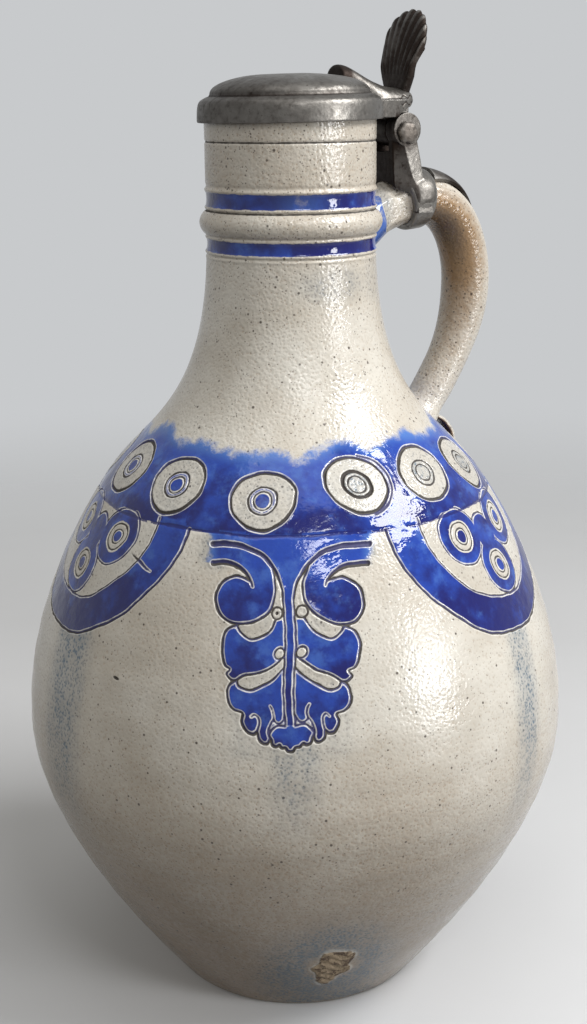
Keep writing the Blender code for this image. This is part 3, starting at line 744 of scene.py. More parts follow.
# Half of the leaf, as rows of (across, down, half width) from the shoulder line.
LEAF_STROKES = {
    "hook": (
        (31, 4.5, 1.5), (21, 4.4, 1.4), (12.5, 7, 1.15), (7.3, 11.3, 0.9), (4, 16.3, 0.7), (2.4, 21.5, 0.55),
        (2, 30, 0.45), (2, 47, 0.45), (1.8, 72.5, 0.45),
    ),
    "barb": ((30.5, 12.2, 1.25), (23, 12.2, 1.2), (17.5, 14.7, 0.95), (14.8, 17.8, 0.7), (14, 20.2, 0.35)),
    "high_lobe": (
        (14.8, 18, 0.6), (18, 16.9, 0.65), (21.5, 16.7, 0.7), (26.2, 19.6, 0.75), (28.7, 24.5, 0.75),
        (28.3, 29.8, 0.75), (25.2, 33.6, 0.75), (20, 35.1, 0.7), (14, 33.5, 0.65), (9, 30.3, 0.6),
        (6.2, 26.3, 0.55), (5.2, 21.6, 0.5), (5.5, 16.8, 0.5), (7, 12, 0.5),
    ),
    "high_leaf": (
        (20.6, 35.2, 0.55), (19.6, 37.6, 0.6), (17.5, 39.7, 0.6), (15, 40.5, 0.6), (11.3, 39.2, 0.6),
        (8, 36.5, 0.55), (5.6, 32.2, 0.5),
    ),
    "middle_lobe": (
        (20.6, 35.6, 0.55), (24.6, 37.6, 0.65), (26.6, 42.6, 0.7), (26.1, 48, 0.7), (25, 51.2, 0.6),
        (22.8, 52.6, 0.5), (24.1, 54.6, 0.55), (22.2, 56.7, 0.6), (20, 56.8, 0.55),
    ),
    "middle_foot": ((3.6, 47.4, 0.5), (6.8, 50, 0.6), (11, 52.7, 0.6), (16.5, 54.4, 0.6), (20, 56.7, 0.55)),
    "low_leaf": (
        (20, 56.7, 0.55), (18.9, 58.9, 0.6), (14.8, 59.6, 0.6), (10.2, 57.5, 0.6), (5.7, 54.5, 0.55),
        (2.4, 50.9, 0.5),
    ),
    "low_lobe": (
        (20, 56.8, 0.55), (22.8, 58.4, 0.65), (23.7, 61.5, 0.65), (23.1, 65.3, 0.65), (21, 67.8, 0.6),
        (17.9, 69, 0.6), (18.6, 72.2, 0.7), (16.8, 75.4, 0.8), (14.4, 76, 0.8), (13.1, 75.2, 0.6),
        (12.6, 77.6, 0.7), (11, 79.2, 0.8), (9.2, 79, 0.8), (8.4, 77.4, 0.6),
    ),
    "finger": (
        (13.1, 75.2, 0.5), (12.2, 72.6, 0.45), (12.3, 70.2, 0.45), (13.6, 68.9, 0.45), (14.9, 69.8, 0.35),
    ),
    "curl": (
        (8.4, 77.2, 0.5), (8.9, 74.8, 0.45), (7.6, 71.6, 0.45), (6.4, 69.4, 0.4), (6.6, 66.4, 0.4),
        (7.4, 64.6, 0.3),
    ),
    "inner_curl": (
        (6.4, 68.4, 0.35), (6.3, 70.6, 0.45), (4.6, 71.8, 0.45), (2.9, 70.9, 0.4), (2.1, 68.6, 0.35),
    ),
    "flower": (
        (1.9, 72.8, 0.45), (5, 72.5, 0.5), (7.0, 73.6, 0.5), (8.6, 75.6, 0.6), (7.6, 77.6, 0.7),
        (7.2, 79.4, 0.85), (5.6, 80.2, 0.85), (4.4, 79.4, 0.7), (3.4, 80.8, 0.85), (1.9, 80.8, 0.75),
        (1.0, 82.2, 0.85), (0, 82.4, 0.85),
    ),
}


@dataclass(frozen=True)
class LeafMotif:
    """The upright leaf under the shoulder, drawn as one half and mirrored. Its eyes are (across, down, radius)."""

    bearing: float
    pupil: bool = False
    reach: float = 36.0
    top: float = -1.5
    bottom: float = 87.0
    fine: float = 0.84
    high_eye: tuple = (4.7, 29.7, 2.15)
    low_eye: tuple = (4.1, 45.1, 1.95)
    eye_half: float = 0.4
    pupil_radius: float = 0.7
    hook_turn: int = 3
    flower_side: int = 18

    def draw(self, u: Array, v: Array) -> Drawn:
        """Draws the leaf at points across and down from the middle of the shoulder line."""
        left, u = u < 0, np.abs(u)
        line = {name: through(rows) * (1, 1, self.fine) for name, rows in LEAF_STROKES.items()}
        groove = np.full(u.shape, FAR)
        eyes = [circle(*eye, self.eye_half) for eye in (self.high_eye, self.low_eye)]
        for stroke in [*line.values(), *eyes]:
            np.minimum(groove, edge_distance(stroke, u, v), out=groove)
        if self.pupil:
            dot = np.hypot(u - self.high_eye[0], v - self.high_eye[1]) - self.pupil_radius
            groove = np.where(left, np.minimum(groove, dot), groove)
        flat = {name: rows[:, :2] for name, rows in line.items()}
        hook, side = flat["hook"], self.reach
        crown = np.vstack([[(-3, self.top), (side, self.top), (side, 4.5)], hook, [(-3, 72.5)]])
        turned = hook[: self.hook_turn * CURVE_STEPS]
        comma = np.vstack([[(side, 12.2), (side, 4.5)], turned, flat["high_lobe"][::-1], flat["barb"][::-1]])
        middle = np.vstack(
            [[(2, 32.5)], flat["high_leaf"][::-1], flat["middle_lobe"], flat["middle_foot"][::-1], [(2, 46.8)]]
        )
        petal = flat["flower"][self.flower_side :: -1]
        low = np.vstack([[(2, 51.6)], flat["low_leaf"][::-1], flat["low_lobe"], petal])
        calyx = np.vstack([[(-3, 72.8)], flat["flower"], [(-3, 82.4)]])
        cobalt = np.full(u.shape, -FAR)
        pool = np.full(u.shape, 0.3)
        for area in (crown, comma, middle, low, calyx):
            within = inside_distance(area, u, v)
            top, foot = area[:, 1].min(), area[:, 1].max()
            pool = np.where(within > 0, 0.1 + 0.8 * (v - top) / (foot - top), pool)
            np.maximum(cobalt, within, out=cobalt)
        for eye_u, eye_v, radius in (self.high_eye, self.low_eye):
            np.minimum(cobalt, np.hypot(u - eye_u, v - eye_v) - radius, out=cobalt)
        pale = np.where((groove > 0.1) & (cobalt < -0.1), smooth(26, 20, u) * smooth(16, 22, v), 0.0)
        return Drawn(groove, cobalt, pool, 0.3 * pale)


@dataclass(frozen=True)
class SwagMotif:
    """A hanging swag with a trefoil of ringed discs in it."""

    bearing: float
    reach: float = 58.0
    top: float = -3.2
    bottom: float = 60.0
    outer: tuple = (53.2, 45.4, 9.4)
    inner: tuple = (37.0, 32.7, 7.2)
    outer_half: float = 0.6
    inner_half: float = 0.36
    discs: tuple = ((-17.2, 9.8), (17.2, 9.8), (0.0, 27.2))
    disc_radius: float = 12.4
    rings: tuple = (5.9, 3.3)
    ring_half: float = 0.36
    pale_band: tuple = (2.6, 6.9)
    knot: tuple = (0.0, 13.0, 7.5)
    strays: tuple = ()

    @staticmethod
    def _oval(u: Array, v: Array, form: tuple) -> Array:
        """Near signed distance to an oval, negative inside. The form is half width, half height and middle."""
        wide, high, middle = form
        share = np.hypot(u / wide, (v - middle) / high)
        steep = np.hypot(u / wide**2, (v - middle) / high**2) / np.maximum(share, 1e-6)
        return (share - 1) / np.maximum(steep, 1e-6)

    def draw(self, u: Array, v: Array) -> Drawn:
        """Draws the swag at points across and down from the middle of the shoulder line."""
        outer, inner = self._oval(u, v, self.outer), self._oval(u, v, self.inner)
        over = np.maximum(-v, 0.0)
        groove = np.minimum(
            np.hypot(outer, over) - self.outer_half, np.hypot(inner, np.maximum(over - 2, 0)) - self.inner_half
        )
        for stray in self.strays:
            np.minimum(groove, edge_distance(np.array(stray), u, v), out=groove)
        blob = np.full(u.shape, -FAR)
        discs = [np.hypot(u - disc_u, v - disc_v) for disc_u, disc_v in self.discs]
        for away in discs:
            np.maximum(blob, self.disc_radius - away, out=blob)
            ring = np.minimum(np.abs(away - self.rings[0]), np.abs(away - self.rings[1])) - self.ring_half
            np.minimum(groove, ring, out=groove)
        knot_u, knot_v, knot_radius = self.knot
        np.maximum(blob, knot_radius - np.hypot(u - knot_u, (v - knot_v) * 0.8), out=blob)
        lines = np.abs(blob) - self.inner_half
        np.minimum(groove, np.where(v > -2.5, lines, FAR), out=groove)
        for away in discs:
            np.minimum(blob, np.maximum(away - self.pale_band[1], self.pale_band[0] - away), out=blob)
        band = np.minimum(-outer, inner)
        pool = np.where(band > 0, smooth(-6, 46, v), 0.55)
        return Drawn(groove, np.maximum(band, blob), pool, np.where(inner < -0.6, 0.16, 0.0))


@dataclass(frozen=True)
class Medallion:
    """A ringed circle that is kept free of cobalt on the blue shoulder."""

    bearing: float
    rise: float
    brown: bool = False
    dot: float = 3.0
    radius: float = 12.6
    reach: float = 17.0
    rim_half: float = 0.62
    rings: tuple = (5.9, 3.8)
    ring_halves: tuple = (0.42, 0.34)
    blue_ring: tuple = (4.8, 0.75)
    field_tint: float = 0.34
    open_tint: float = 0.9

    @property
    def top(self) -> float:
        """The highest place that the circle touches."""
        return -self.rise - self.reach

    @property
    def bottom(self) -> float:
        """The lowest place that the circle touches."""
        return -self.rise + self.reach

    def draw(self, u: Array, v: Array) -> Drawn:
        """Draws the circle at points across and down from the shoulder line below it."""
        down = v + self.rise
        away = np.hypot(u, down)
        lean = np.abs((down + 0.35 * u) / np.maximum(away, 1)) - 0.5
        groove = np.abs(away - self.radius) - self.rim_half - 0.34 * lean
        for radius, half in zip(self.rings, self.ring_halves):
            wide = half * (1.9 if self.brown and radius > 5 else 1.0)
            np.minimum(groove, np.abs(away - radius) - wide, out=groove)
        ring = (self.blue_ring[1] if self.dot else -FAR) - np.abs(away - self.blue_ring[0])
        centre = self.dot - away
        if self.brown:
            again = np.abs(np.hypot(u - 1.1, down + 0.2) - self.radius - 1.0) - 0.45
            np.minimum(groove, np.where(u > 4, again, FAR), out=groove)
        middle = self.field_tint if self.dot else self.open_tint
        tint = np.where(away < self.rings[0], middle, np.where(away < self.radius - 0.5, self.field_tint, 0.0))
        return Drawn(groove, np.maximum(np.maximum(away - self.radius - 0.3, ring), centre), 0.5, tint)


@dataclass(frozen=True)
class Collar:
    """The turned lines, ridges and blue bands round the neck, as (height, depth, half width)."""

    bead_height: float = 339.2
    bead_width: float = 10.4
    bead_proud: float = 2.8
    foot: float = 310.0
    grooves: tuple = (
        (371.8, 0.5, 0.55), (354.2, 0.28, 0.9), (344.2, 0.45, 0.5), (334.4, 0.3, 0.45), (326.2, 0.3, 0.45),
    )
    ridges: tuple = (
        (352.6, 0.5, 0.75), (345.3, 0.5, 0.7), (333.5, 0.45, 0.7), (327.3, 0.45, 0.65), (325.2, 0.2, 0.6),
    )
    bands: tuple = ((345.9, 352.0), (327.8, 333.0))
    band_dish: float = 0.3

    def relief(self, height: Array) -> Array:
        """How far the surface stands out from the plain neck at heights."""
        half = self.bead_width / 2
        across = np.clip((height - self.bead_height) / half, -1, 1)
        relief = self.bead_proud * np.cos(across * math.pi / 2) ** 0.8
        for middle, depth, width in self.grooves:
            relief = relief - depth * bell(height, middle, width)
        for middle, proud, width in self.ridges:
            relief = relief + proud * bell(height, middle, width)
        for low, high in self.bands:
            share = np.clip((height - low) / (high - low), 0, 1)
            relief = relief - self.band_dish * np.sin(share * math.pi)
        return relief

    def draw(self, height: Array) -> Drawn:
        """The collar's lines and bands at heights."""
        groove = np.full(height.shape, FAR)
        for middle, _, width in (self.grooves[0], self.grooves[2]):
            np.minimum(groove, np.abs(height - middle) - width * 0.55, out=groove)
        cobalt = np.full(height.shape, -FAR)
        for low, high in self.bands:
            np.maximum(cobalt, np.minimum(height - low, high - height), out=cobalt)
        return Drawn(groove, cobalt)


@dataclass(frozen=True)
class Decoration:
    """All that is drawn on the body, placed by bearings in degrees round the axis from the handle."""

    leaves: tuple = (LeafMotif(-121.5, True), LeafMotif(-1.0), LeafMotif(118.0))
    swags: tuple = (
        SwagMotif(-60.9),
        SwagMotif(-184.2, strays=(((31.0, 15.2, 0.25), (38.4, 17.2, 0.55), (45.2, 19.0, 0.2)),)),
        SwagMotif(58.0),
    )
    medallions: tuple = (
        Medallion(-186.8, 18.5), Medallion(-159.2, 17.4), Medallion(-129.4, 14.7),
        Medallion(-100.3, 20.1, True, 0.0), Medallion(-73.7, 20.0, dot=0.0), Medallion(-47.8, 17.4, dot=0.0),
        Medallion(-21.5, 18.2), Medallion(22.0, 18.8), Medallion(46.5, 17.6), Medallion(71.2, 18.9),
        Medallion(96.0, 17.2), Medallion(120.8, 19.0), Medallion(146.0, 18.0),
    )
    collar: Collar = Collar()
    line_half: float = 0.32
    wobble: float = 0.42
    wash_edge: tuple = (
        (-189, 41), (-178, 42), (-166, 38), (-154, 40), (-142, 36), (-128, 38), (-119, 35), (-110, 40), (-99, 43),
        (-91, 38), (-80, 42), (-68, 41), (-60, 38), (-40, 40), (-16, 50), (16, 50), (40, 40), (62, 37), (84, 41),
        (110, 38), (140, 40), (162, 36),
    )
    wash_fade: float = 5.0
    washed_band: float = -113.0
    washed_half: float = 0.5
    washed_share: float = 0.8
    leaf_end: tuple = (34.0, 4.0)
    warm_shaded_side: float = 195.0
    neck_foot: float = 300.0
    root_smear: tuple = (337.0, 20.0, 17.0, 14.0)
    runs: tuple = (
        (-176, 50, 13.5, 112, 1.3, 1), (-64, 50, 8.5, 108, 1.1, -5), (-120.5, 80, 9.5, 44, 0.75, 0),
        (62, 50, 10, 100, 0.9, 3), (118, 80, 9, 50, 0.5, 0), (0, 80, 9, 50, 0.5, 0),
    )
    hazes: tuple = (
        (-111, 30, 38, 46, 1.7), (-108, 3, 30, 10, 1.7), (-92, 316, 22, 10, 0.5), (-50, 316, 14, 12, 0.3),
        (-140, 221, 10, 9, 0.9), (-103, 221, 8, 8, 0.7),
    )
    flecks: tuple = ((-159.3, 169.3, 1.5, 0.7), (-167.6, 361.3, 1.7, 0.8))
    scar_bearing: float = -110.1
    scar_height: float = 35.0
    scar_size: tuple = (9.8, 16.5)

    def sample(self, angle: Array, radius: Array, height: Array, down: Array) -> dict[Paint, Array]:
        """What the outer wall carries at points.

        Args:
            angle: Bearings in radians.
            radius: Distances from the axis.
            height: Heights over the floor.
            down: Distances down the wall from the shoulder line.

        Returns:
            A value per point for each kind of paint.
        """
        fine = np.abs(down + 0.3 * np.sin(9 * angle) + 0.2 * np.sin(23 * angle + 1)) - self.line_half
        groove = np.full(angle.shape, FAR)
        veil = self._veil(angle, height, down)
        for bearing, rise, wide, high in self.flecks:
            u = self._turned(angle, bearing) * radius
            np.minimum(groove, (np.hypot((u + height - rise) / wide, (height - rise) / high) - 1) * high, out=groove)
        cobalt = np.clip(-down, -FAR, FAR)
        pool = 0.15 + 0.6 * smooth(-34, -2, down)
        tint = np.zeros(angle.shape)
        for motif in (*self.medallions, *self.leaves, *self.swags):
            u = self._turned(angle, motif.bearing) * radius
            near = (np.abs(u) < motif.reach) & (down > motif.top) & (down < motif.bottom)
            if not near.any():
                continue
            drawn = motif.draw(*self._by_hand(u[near], down[near], motif.bearing))
            groove[near] = np.minimum(groove[near], drawn.groove)
            tint[near] = np.maximum(tint[near], drawn.tint)
            if isinstance(motif, LeafMotif):
                end, fade = self.leaf_end
                ends = np.clip((end - np.abs(u[near])) / fade, -1.5, 2)
                veil[near] = np.where(down[near] > 0.5, np.minimum(veil[near], ends), veil[near])
            if isinstance(motif, Medallion):
                cobalt[near] = np.minimum(cobalt[near], drawn.cobalt)
            else:
                pool[near] = np.where(drawn.cobalt > cobalt[near], drawn.pool, pool[near])
                cobalt[near] = np.maximum(cobalt[near], drawn.cobalt)
        neck = height > self.neck_foot
        collar = self.collar.draw(height[neck])
        groove[neck], cobalt[neck] = collar.groove, collar.cobalt
        pool[neck] = 0.75 + 0.25 * np.sin(3 * angle[neck] + 0.4)
        rise, wide, high, deep = self.root_smear
        root = (1 - np.hypot(self._turned(angle, 0.0) * radius / wide, (height - rise) / high)) * deep
        cobalt = np.where(neck, np.maximum(cobalt, root), cobalt)
        return {
            Paint.GROOVE: np.clip(groove, -3, 6),
            Paint.COBALT: np.clip(cobalt, -6, 6),
            Paint.VEIL: veil,
            Paint.FINE: smooth(0.5, 0.0, fine) * (height < self.neck_foot),
            Paint.DRIP: np.maximum(tint, self._drips(angle, radius, height, down)),
            Paint.WARM_AND_SHADE: self._warm_and_shade(angle, height),
            Paint.SCAR: self._scar(angle, radius, height),
            Paint.POOL: pool,
            Paint.SPECK: 0.32 + 0.23 * smooth(215, 260, height) + 0.45 * smooth(290, 350, height),
        }

    @staticmethod
    def _turned(angle: Array, bearing: float) -> Array:
        """Angles from a bearing in degrees, between minus and plus half a turn."""
        return wrapped(angle - math.radians(bearing))

    def _by_hand(self, u: Array, v: Array, bearing: float) -> tuple[Array, Array]:
        """Bends a motif's places a little, as a drawn line wanders, each motif in its own way."""
        size, seed = self.wobble, math.radians(bearing) * 7
        across = u + size * np.sin(0.17 * v + seed) + 0.5 * size * np.sin(0.33 * u + 2 * seed)
        down = v + size * np.sin(0.19 * u + 1.3 * seed) + 0.5 * size * np.sin(0.41 * v + seed)
        return across + 0.22 * size * np.sin(0.9 * v + seed), down + 0.22 * size * np.sin(0.8 * u + seed)

    def _veil(self, angle: Array, height: Array, down: Array) -> Array:
        """The cobalt's strength under its washed upper edge."""
        stops = np.array(self.wash_edge, float)
        rise = np.interp(np.degrees(self._turned(angle, 0.0)), stops[:, 0], stops[:, 1], period=360)
        veil = (down + rise + 0.8 * np.sin(17 * angle)) / self.wash_fade
        washed = bell(self._turned(angle, self.washed_band), 0.0, self.washed_half)
        washed = self.washed_share * (washed * (height > self.collar.bead_height))
        return np.where(height > self.collar.foot, 2.0 - washed, np.clip(veil, -1.5, 2.0))

    def _drips(self, angle: Array, radius: Array, height: Array, down: Array) -> Array:
        """Thin cobalt that ran down under the motifs, and the smears by the handle and near the foot."""
        drip = np.zeros(angle.shape)
        for bearing, start, half, length, strength, drift in self.runs:
            fall = (down - start) / length
            u = self._turned(angle - np.radians(drift) * np.clip(fall, 0, 1), bearing) * radius
            run = np.exp(-((u / half) ** 4)) * smooth(-0.05, 0.03, fall) * (1 - smooth(0.3, 1.0, fall))
            np.maximum(drip, strength * run, out=drip)
        for bearing, rise, wide, high, strength in self.hazes:
            away = np.hypot(self._turned(angle, bearing) * radius / wide, (height - rise) / high)
            np.maximum(drip, strength * (1 - smooth(0.35, 1.05, away)), out=drip)
        prop = np.hypot(self._turned(angle, self.scar_bearing) * radius, height - self.scar_height)
        return drip * smooth(9, 14, prop)

    def _warm_and_shade(self, angle: Array, height: Array) -> Array:
        """Where the clay is browner: along the neck, and low down on one side, which is partly warmer clay and
        partly painted shade away from the lamps.
        """
        low = 1 - smooth(20, 190, height)
        # Painted shade with warmer clay: strongest low down on the side at this bearing.
        side = 0.5 + 0.5 * np.cos(angle - math.radians(self.warm_shaded_side))
        return 0.14 + 0.5 * low * (0.38 + 0.62 * side) + 0.12 * smooth(290, 350, height)

    def _scar(self, angle: Array, radius: Array, height: Array) -> Array:
        """The rough mark that a kiln prop left near the foot, 1 in its middle and 0 outside."""
        u = self._turned(angle, self.scar_bearing) * radius
        wide, high = self.scar_size
        lean = (u - 0.1 * (height - self.scar_height)) / wide
        rim = 0.12 * np.sin(5 * np.arctan2(height - self.scar_height, u) + 1.0)
        return 1 - smooth(0.55, 1.0, np.hypot(lean, (height - self.scar_height) / high) + rim)


class SplitSkin:
    """A turned surface whose cells are split in four where lines are drawn on it."""

    def __init__(self, columns: int, rows: int, reaches: Sequence[float]) -> None:
        """Holds the counts of whole cells and, per level, how near a line a cell is split."""
        self.columns, self.rows, self.reaches = columns, rows, reaches
        self.levels = len(reaches)
        self.fine = 2**self.levels

    def build(self, nearness: Callable[[Array, Array], Array]) -> tuple[Array, list[list[int]]]:
        """Splits the cells and joins them without gaps.

        Args:
            nearness: Distance to the nearest line at places given as fine columns and fine rows.

        Returns:
            The points as (fine column, fine row) and the faces as lists of point numbers.
        """
        split = self._split(nearness)
        cells = self._leaves(split)
        width = self.columns * self.fine
        used = np.zeros((width, self.rows * self.fine + 1), bool)
        for span, at in cells:
            for i, j in ((0, 0), (span, 0), (span, span), (0, span)):
                used[(at[:, 0] + i) % width, at[:, 1] + j] = True
        number = np.full(used.shape, -1)
        number[used] = np.arange(used.sum())
        faces: list[list[int]] = []
        for span, at in cells:
            half = span // 2
            turn = ((0, 0), (half, 0), (span, 0), (span, half), (span, span), (half, span), (0, span), (0, half))
            ring = [c for k, c in enumerate(turn) if half or k % 2 == 0]
            ids = np.stack([number[(at[:, 0] + i) % width, at[:, 1] + j] for i, j in ring], 1)
            faces += [[corner for corner in row if corner >= 0] for row in ids.tolist()]
        return np.argwhere(used), faces

    def _split(self, nearness: Callable[[Array, Array], Array]) -> list[Array]:
        """Marks the cells of each level that are split, with neighbours at most one level apart."""
        here = np.ones((self.columns, self.rows), bool)
        split = []
        for level, reach in enumerate(self.reaches):
            span = 2 ** (self.levels - level)
            at = np.argwhere(here)
            mark = np.zeros(here.shape, bool)
            mark[at[:, 0], at[:, 1]] = nearness((at[:, 0] + 0.5) * span, (at[:, 1] + 0.5) * span) < reach
            split.append(mark)
            here = mark.repeat(2, 0).repeat(2, 1)
        for level in range(self.levels - 1, 0, -1):
            near = split[level].copy()
            for shift in (-1, 1):
                near |= np.roll(split[level], shift, 0)
            wide = near.copy()
            wide[:, 1:] |= near[:, :-1]
            wide[:, :-1] |= near[:, 1:]
            columns, rows = split[level - 1].shape
            split[level - 1] |= wide.reshape(columns, 2, rows, 2).any((1, 3))
        return split

    def _leaves(self, split: list[Array]) -> list[tuple[int, Array]]:
        """The unsplit cells of each level as their span and their fine places."""
        here = np.ones((self.columns, self.rows), bool)
        cells = []
        for level in range(self.levels + 1):
            span = 2 ** (self.levels - level)
            mark = split[level] if level < self.levels else np.zeros(here.shape, bool)
            cells.append((span, np.argwhere(here & ~mark) * span))
            here = mark.repeat(2, 0).repeat(2, 1)
        return cells


@dataclass
class ThrownBody:
    """The jug's hollow body with its incised and painted wall."""

    outline: Outline = field(default_factory=Outline)
    decoration: Decoration = field(default_factory=Decoration)
    columns: int = 176
    cell: float = 3.6
    split_reaches: tuple = (2.8, 1.5, 0.6)
    skin_low: float = 6.0
    skin_high: float = 264.0
    shoulder_line: float = 226.4
    groove_depth: float = 0.75
    fine_depth: float = 0.3
    burr: float = 0.14
    lip_round: float = 1.6
    lip_steps: int = 5
    neck_rings: tuple = (
        (265.8, 322, 1.8), (322, 357, 0.3), (357, 370, 1.6), (370, 373.6, 0.25), (374.5, 383.1, 1.5),
    )

    def build(self, glaze: Finish) -> Piece:
        """Builds the body's mesh.

        Args:
            glaze: The salt glaze's material.

        Returns:
            The body as an object.
        """
        curve = self.outline.curve()
        length = running_length(curve)
        low, high, line = np.interp((self.skin_low, self.skin_high, self.shoulder_line), curve[:, 1], length)
        rows = round((high - low) / self.cell)
        skin = SplitSkin(self.columns, rows, self.split_reaches)

        def wall(column: Array, row: Array) -> tuple[Array, Array, Array, Array]:
            """Bearing, radius, height and distance down from the shoulder line at fine places."""
            along = low + (high - low) * row / (rows * skin.fine)
            angle = FULL_TURN * column / (self.columns * skin.fine)
            radius = np.interp(along, length, curve[:, 0])
            return angle, radius, np.interp(along, length, curve[:, 1]), line - along

        def nearness(column: Array, row: Array) -> Array:
            """Distance to the nearest incised line or to the kiln scar."""
            values = self.decoration.sample(*wall(column, row))
            near = np.where(values[Paint.SCAR] > 0.02, 0.8, values[Paint.GROOVE])
            near = np.where(values[Paint.FINE] > 0, 0.0, near)
            edge = (row < 2 * skin.fine) | (row > (rows - 2) * skin.fine)
            return np.where(edge, FAR, near)

        at, faces = skin.build(nearness)
        angle, radius, height, down = wall(at[:, 0], at[:, 1])
        values = self.decoration.sample(angle, radius, height, down)
        tangent = np.gradient(curve, axis=0).T
        slope_r, slope_z = (np.interp(height, curve[:, 1], part / np.hypot(*tangent)) for part in tangent)
        push = self._relief(values, angle, height)
        points = self._turned(angle, radius + slope_z * push, height - slope_r * push)
        top = np.flatnonzero(at[:, 1] == rows * skin.fine)
        bottom = np.flatnonzero(at[:, 1] == 0)
        paints = {kind: [value] for kind, value in values.items()}
        clouds = [points]
        count = len(points)
        turn = turns(self.columns)
        after = np.roll(np.arange(self.columns), -1)
        ends = ((top, self._upper_rings(), True), (bottom, self._lower_rings(), False))
        for last, (profile, plain), up in ends:
            for k, (r, z) in enumerate(profile):
                down = line - np.interp(z, curve[:, 1], length)
                place = [turn, *(np.full(turn.shape, value) for value in (r, z, down))]
                ring = self.decoration.sample(*place)
                if k >= plain:
                    ring[Paint.GROOVE][:], ring[Paint.COBALT][:], ring[Paint.DRIP][:] = 6, -6, 0
                    ring[Paint.SCAR][:], ring[Paint.FINE][:] = 0, 0
                for kind, value in ring.items():
                    paints[kind].append(value)
                clouds.append(self._turned(*place[:3]))
                now = np.arange(count, count + self.columns)
                count += self.columns
                quads = np.stack([last, last[after], now[after], now], 1)
                faces += (quads if up else quads[:, ::-1]).tolist()
                last = now
            faces.append((last if up else last[::-1]).tolist())
        mesh = mesh_from("body_clay", np.vstack(clouds), faces)
        paint(mesh, {kind: np.concatenate(value) for kind, value in paints.items()})
        shade_smooth(mesh)
        mesh.materials.append(glaze)
        return bpy.data.objects.new("body_clay", mesh)

    def _relief(self, values: dict[Paint, Array], angle: Array, height: Array) -> Array:
        """How far the wall stands out: cut lines, their raised burr, the kiln scar and an uneven throw."""
        groove = values[Paint.GROOVE]
        cut = -self.groove_depth * smooth(0.12, -0.75, groove)
        lip = self.burr * bell(groove, 0.35, 0.4)
        scar = values[Paint.SCAR]
        crust = scar * (0.5 + 0.5 * np.sin(60 * angle + 0.5 * height) * np.sin(0.9 * height + 25 * angle))
        throw = 0.10 * np.sin(0.42 * height) * smooth(6, 40, height) * (1 - smooth(170, 230, height))
        return cut + lip + crust + throw - self.fine_depth * values[Paint.FINE]

    @staticmethod
    def _turned(angle: Array, radius: Array, height: Array) -> Array:
        """Points round the axis."""
        return np.stack([radius * np.cos(angle), radius * np.sin(angle), height], 1)

    def _upper_rings(self) -> tuple[list[tuple[float, float]], int]:
        """Rings from the skin's top up the neck, over the lip and down the inside, and the first plain one."""
        form, collar = self.outline, self.decoration.collar
        stops = np.concatenate([np.arange(*stretch) for stretch in self.neck_rings])
        proud = form.radius_at(stops) + collar.relief(stops) * (stops > collar.foot)
        rings = [(float(r), float(z)) for r, z in zip(proud, stops)]
        mouth = form.neck_radius - form.wall
        quarter = np.linspace(0, math.pi / 2, self.lip_steps)
        for edge, sign, bend in ((form.neck_radius, -1, quarter), (mouth, 1, quarter[::-1])):
            for turn in bend:
                rise = form.lip_height - self.lip_round * (1 - math.sin(turn))
                rings.append((edge + sign * self.lip_round * (1 - math.cos(turn)), rise))
        plain = len(rings) - self.lip_steps
        curve = form.curve()[::10]
        inner = curve + side_normals(curve) * form.wall
        keep = (inner[:, 1] > form.floor + form.wall) & (inner[:, 1] < form.lip_height - 4)
        rings += [(float(r), float(z)) for r, z in inner[keep][::-1]]
        edge = rings[-1][0]
        rings += [(edge - 2.0, form.floor + 2.6), (edge - form.wall, form.floor)]
        rings += [(edge * share, form.floor) for share in (0.7, 0.5, 0.3, 0.1)]
        return rings, plain

    def _lower_rings(self) -> tuple[list[tuple[float, float]], int]:
        """Rings from the skin's foot down round the edge and under the base."""
        form = self.outline
        rings = [(float(form.radius_at(z)), z) for z in (4.2, 2.6)]
        rings += [(form.foot_radius + 0.9, 1.2), (form.foot_radius - 0.2, 0.3), (form.foot_radius - 1.6, 0.0)]
        return rings + [(form.foot_radius * share, 0.0) for share in (0.85, 0.65, 0.45, 0.25, 0.1)], 2


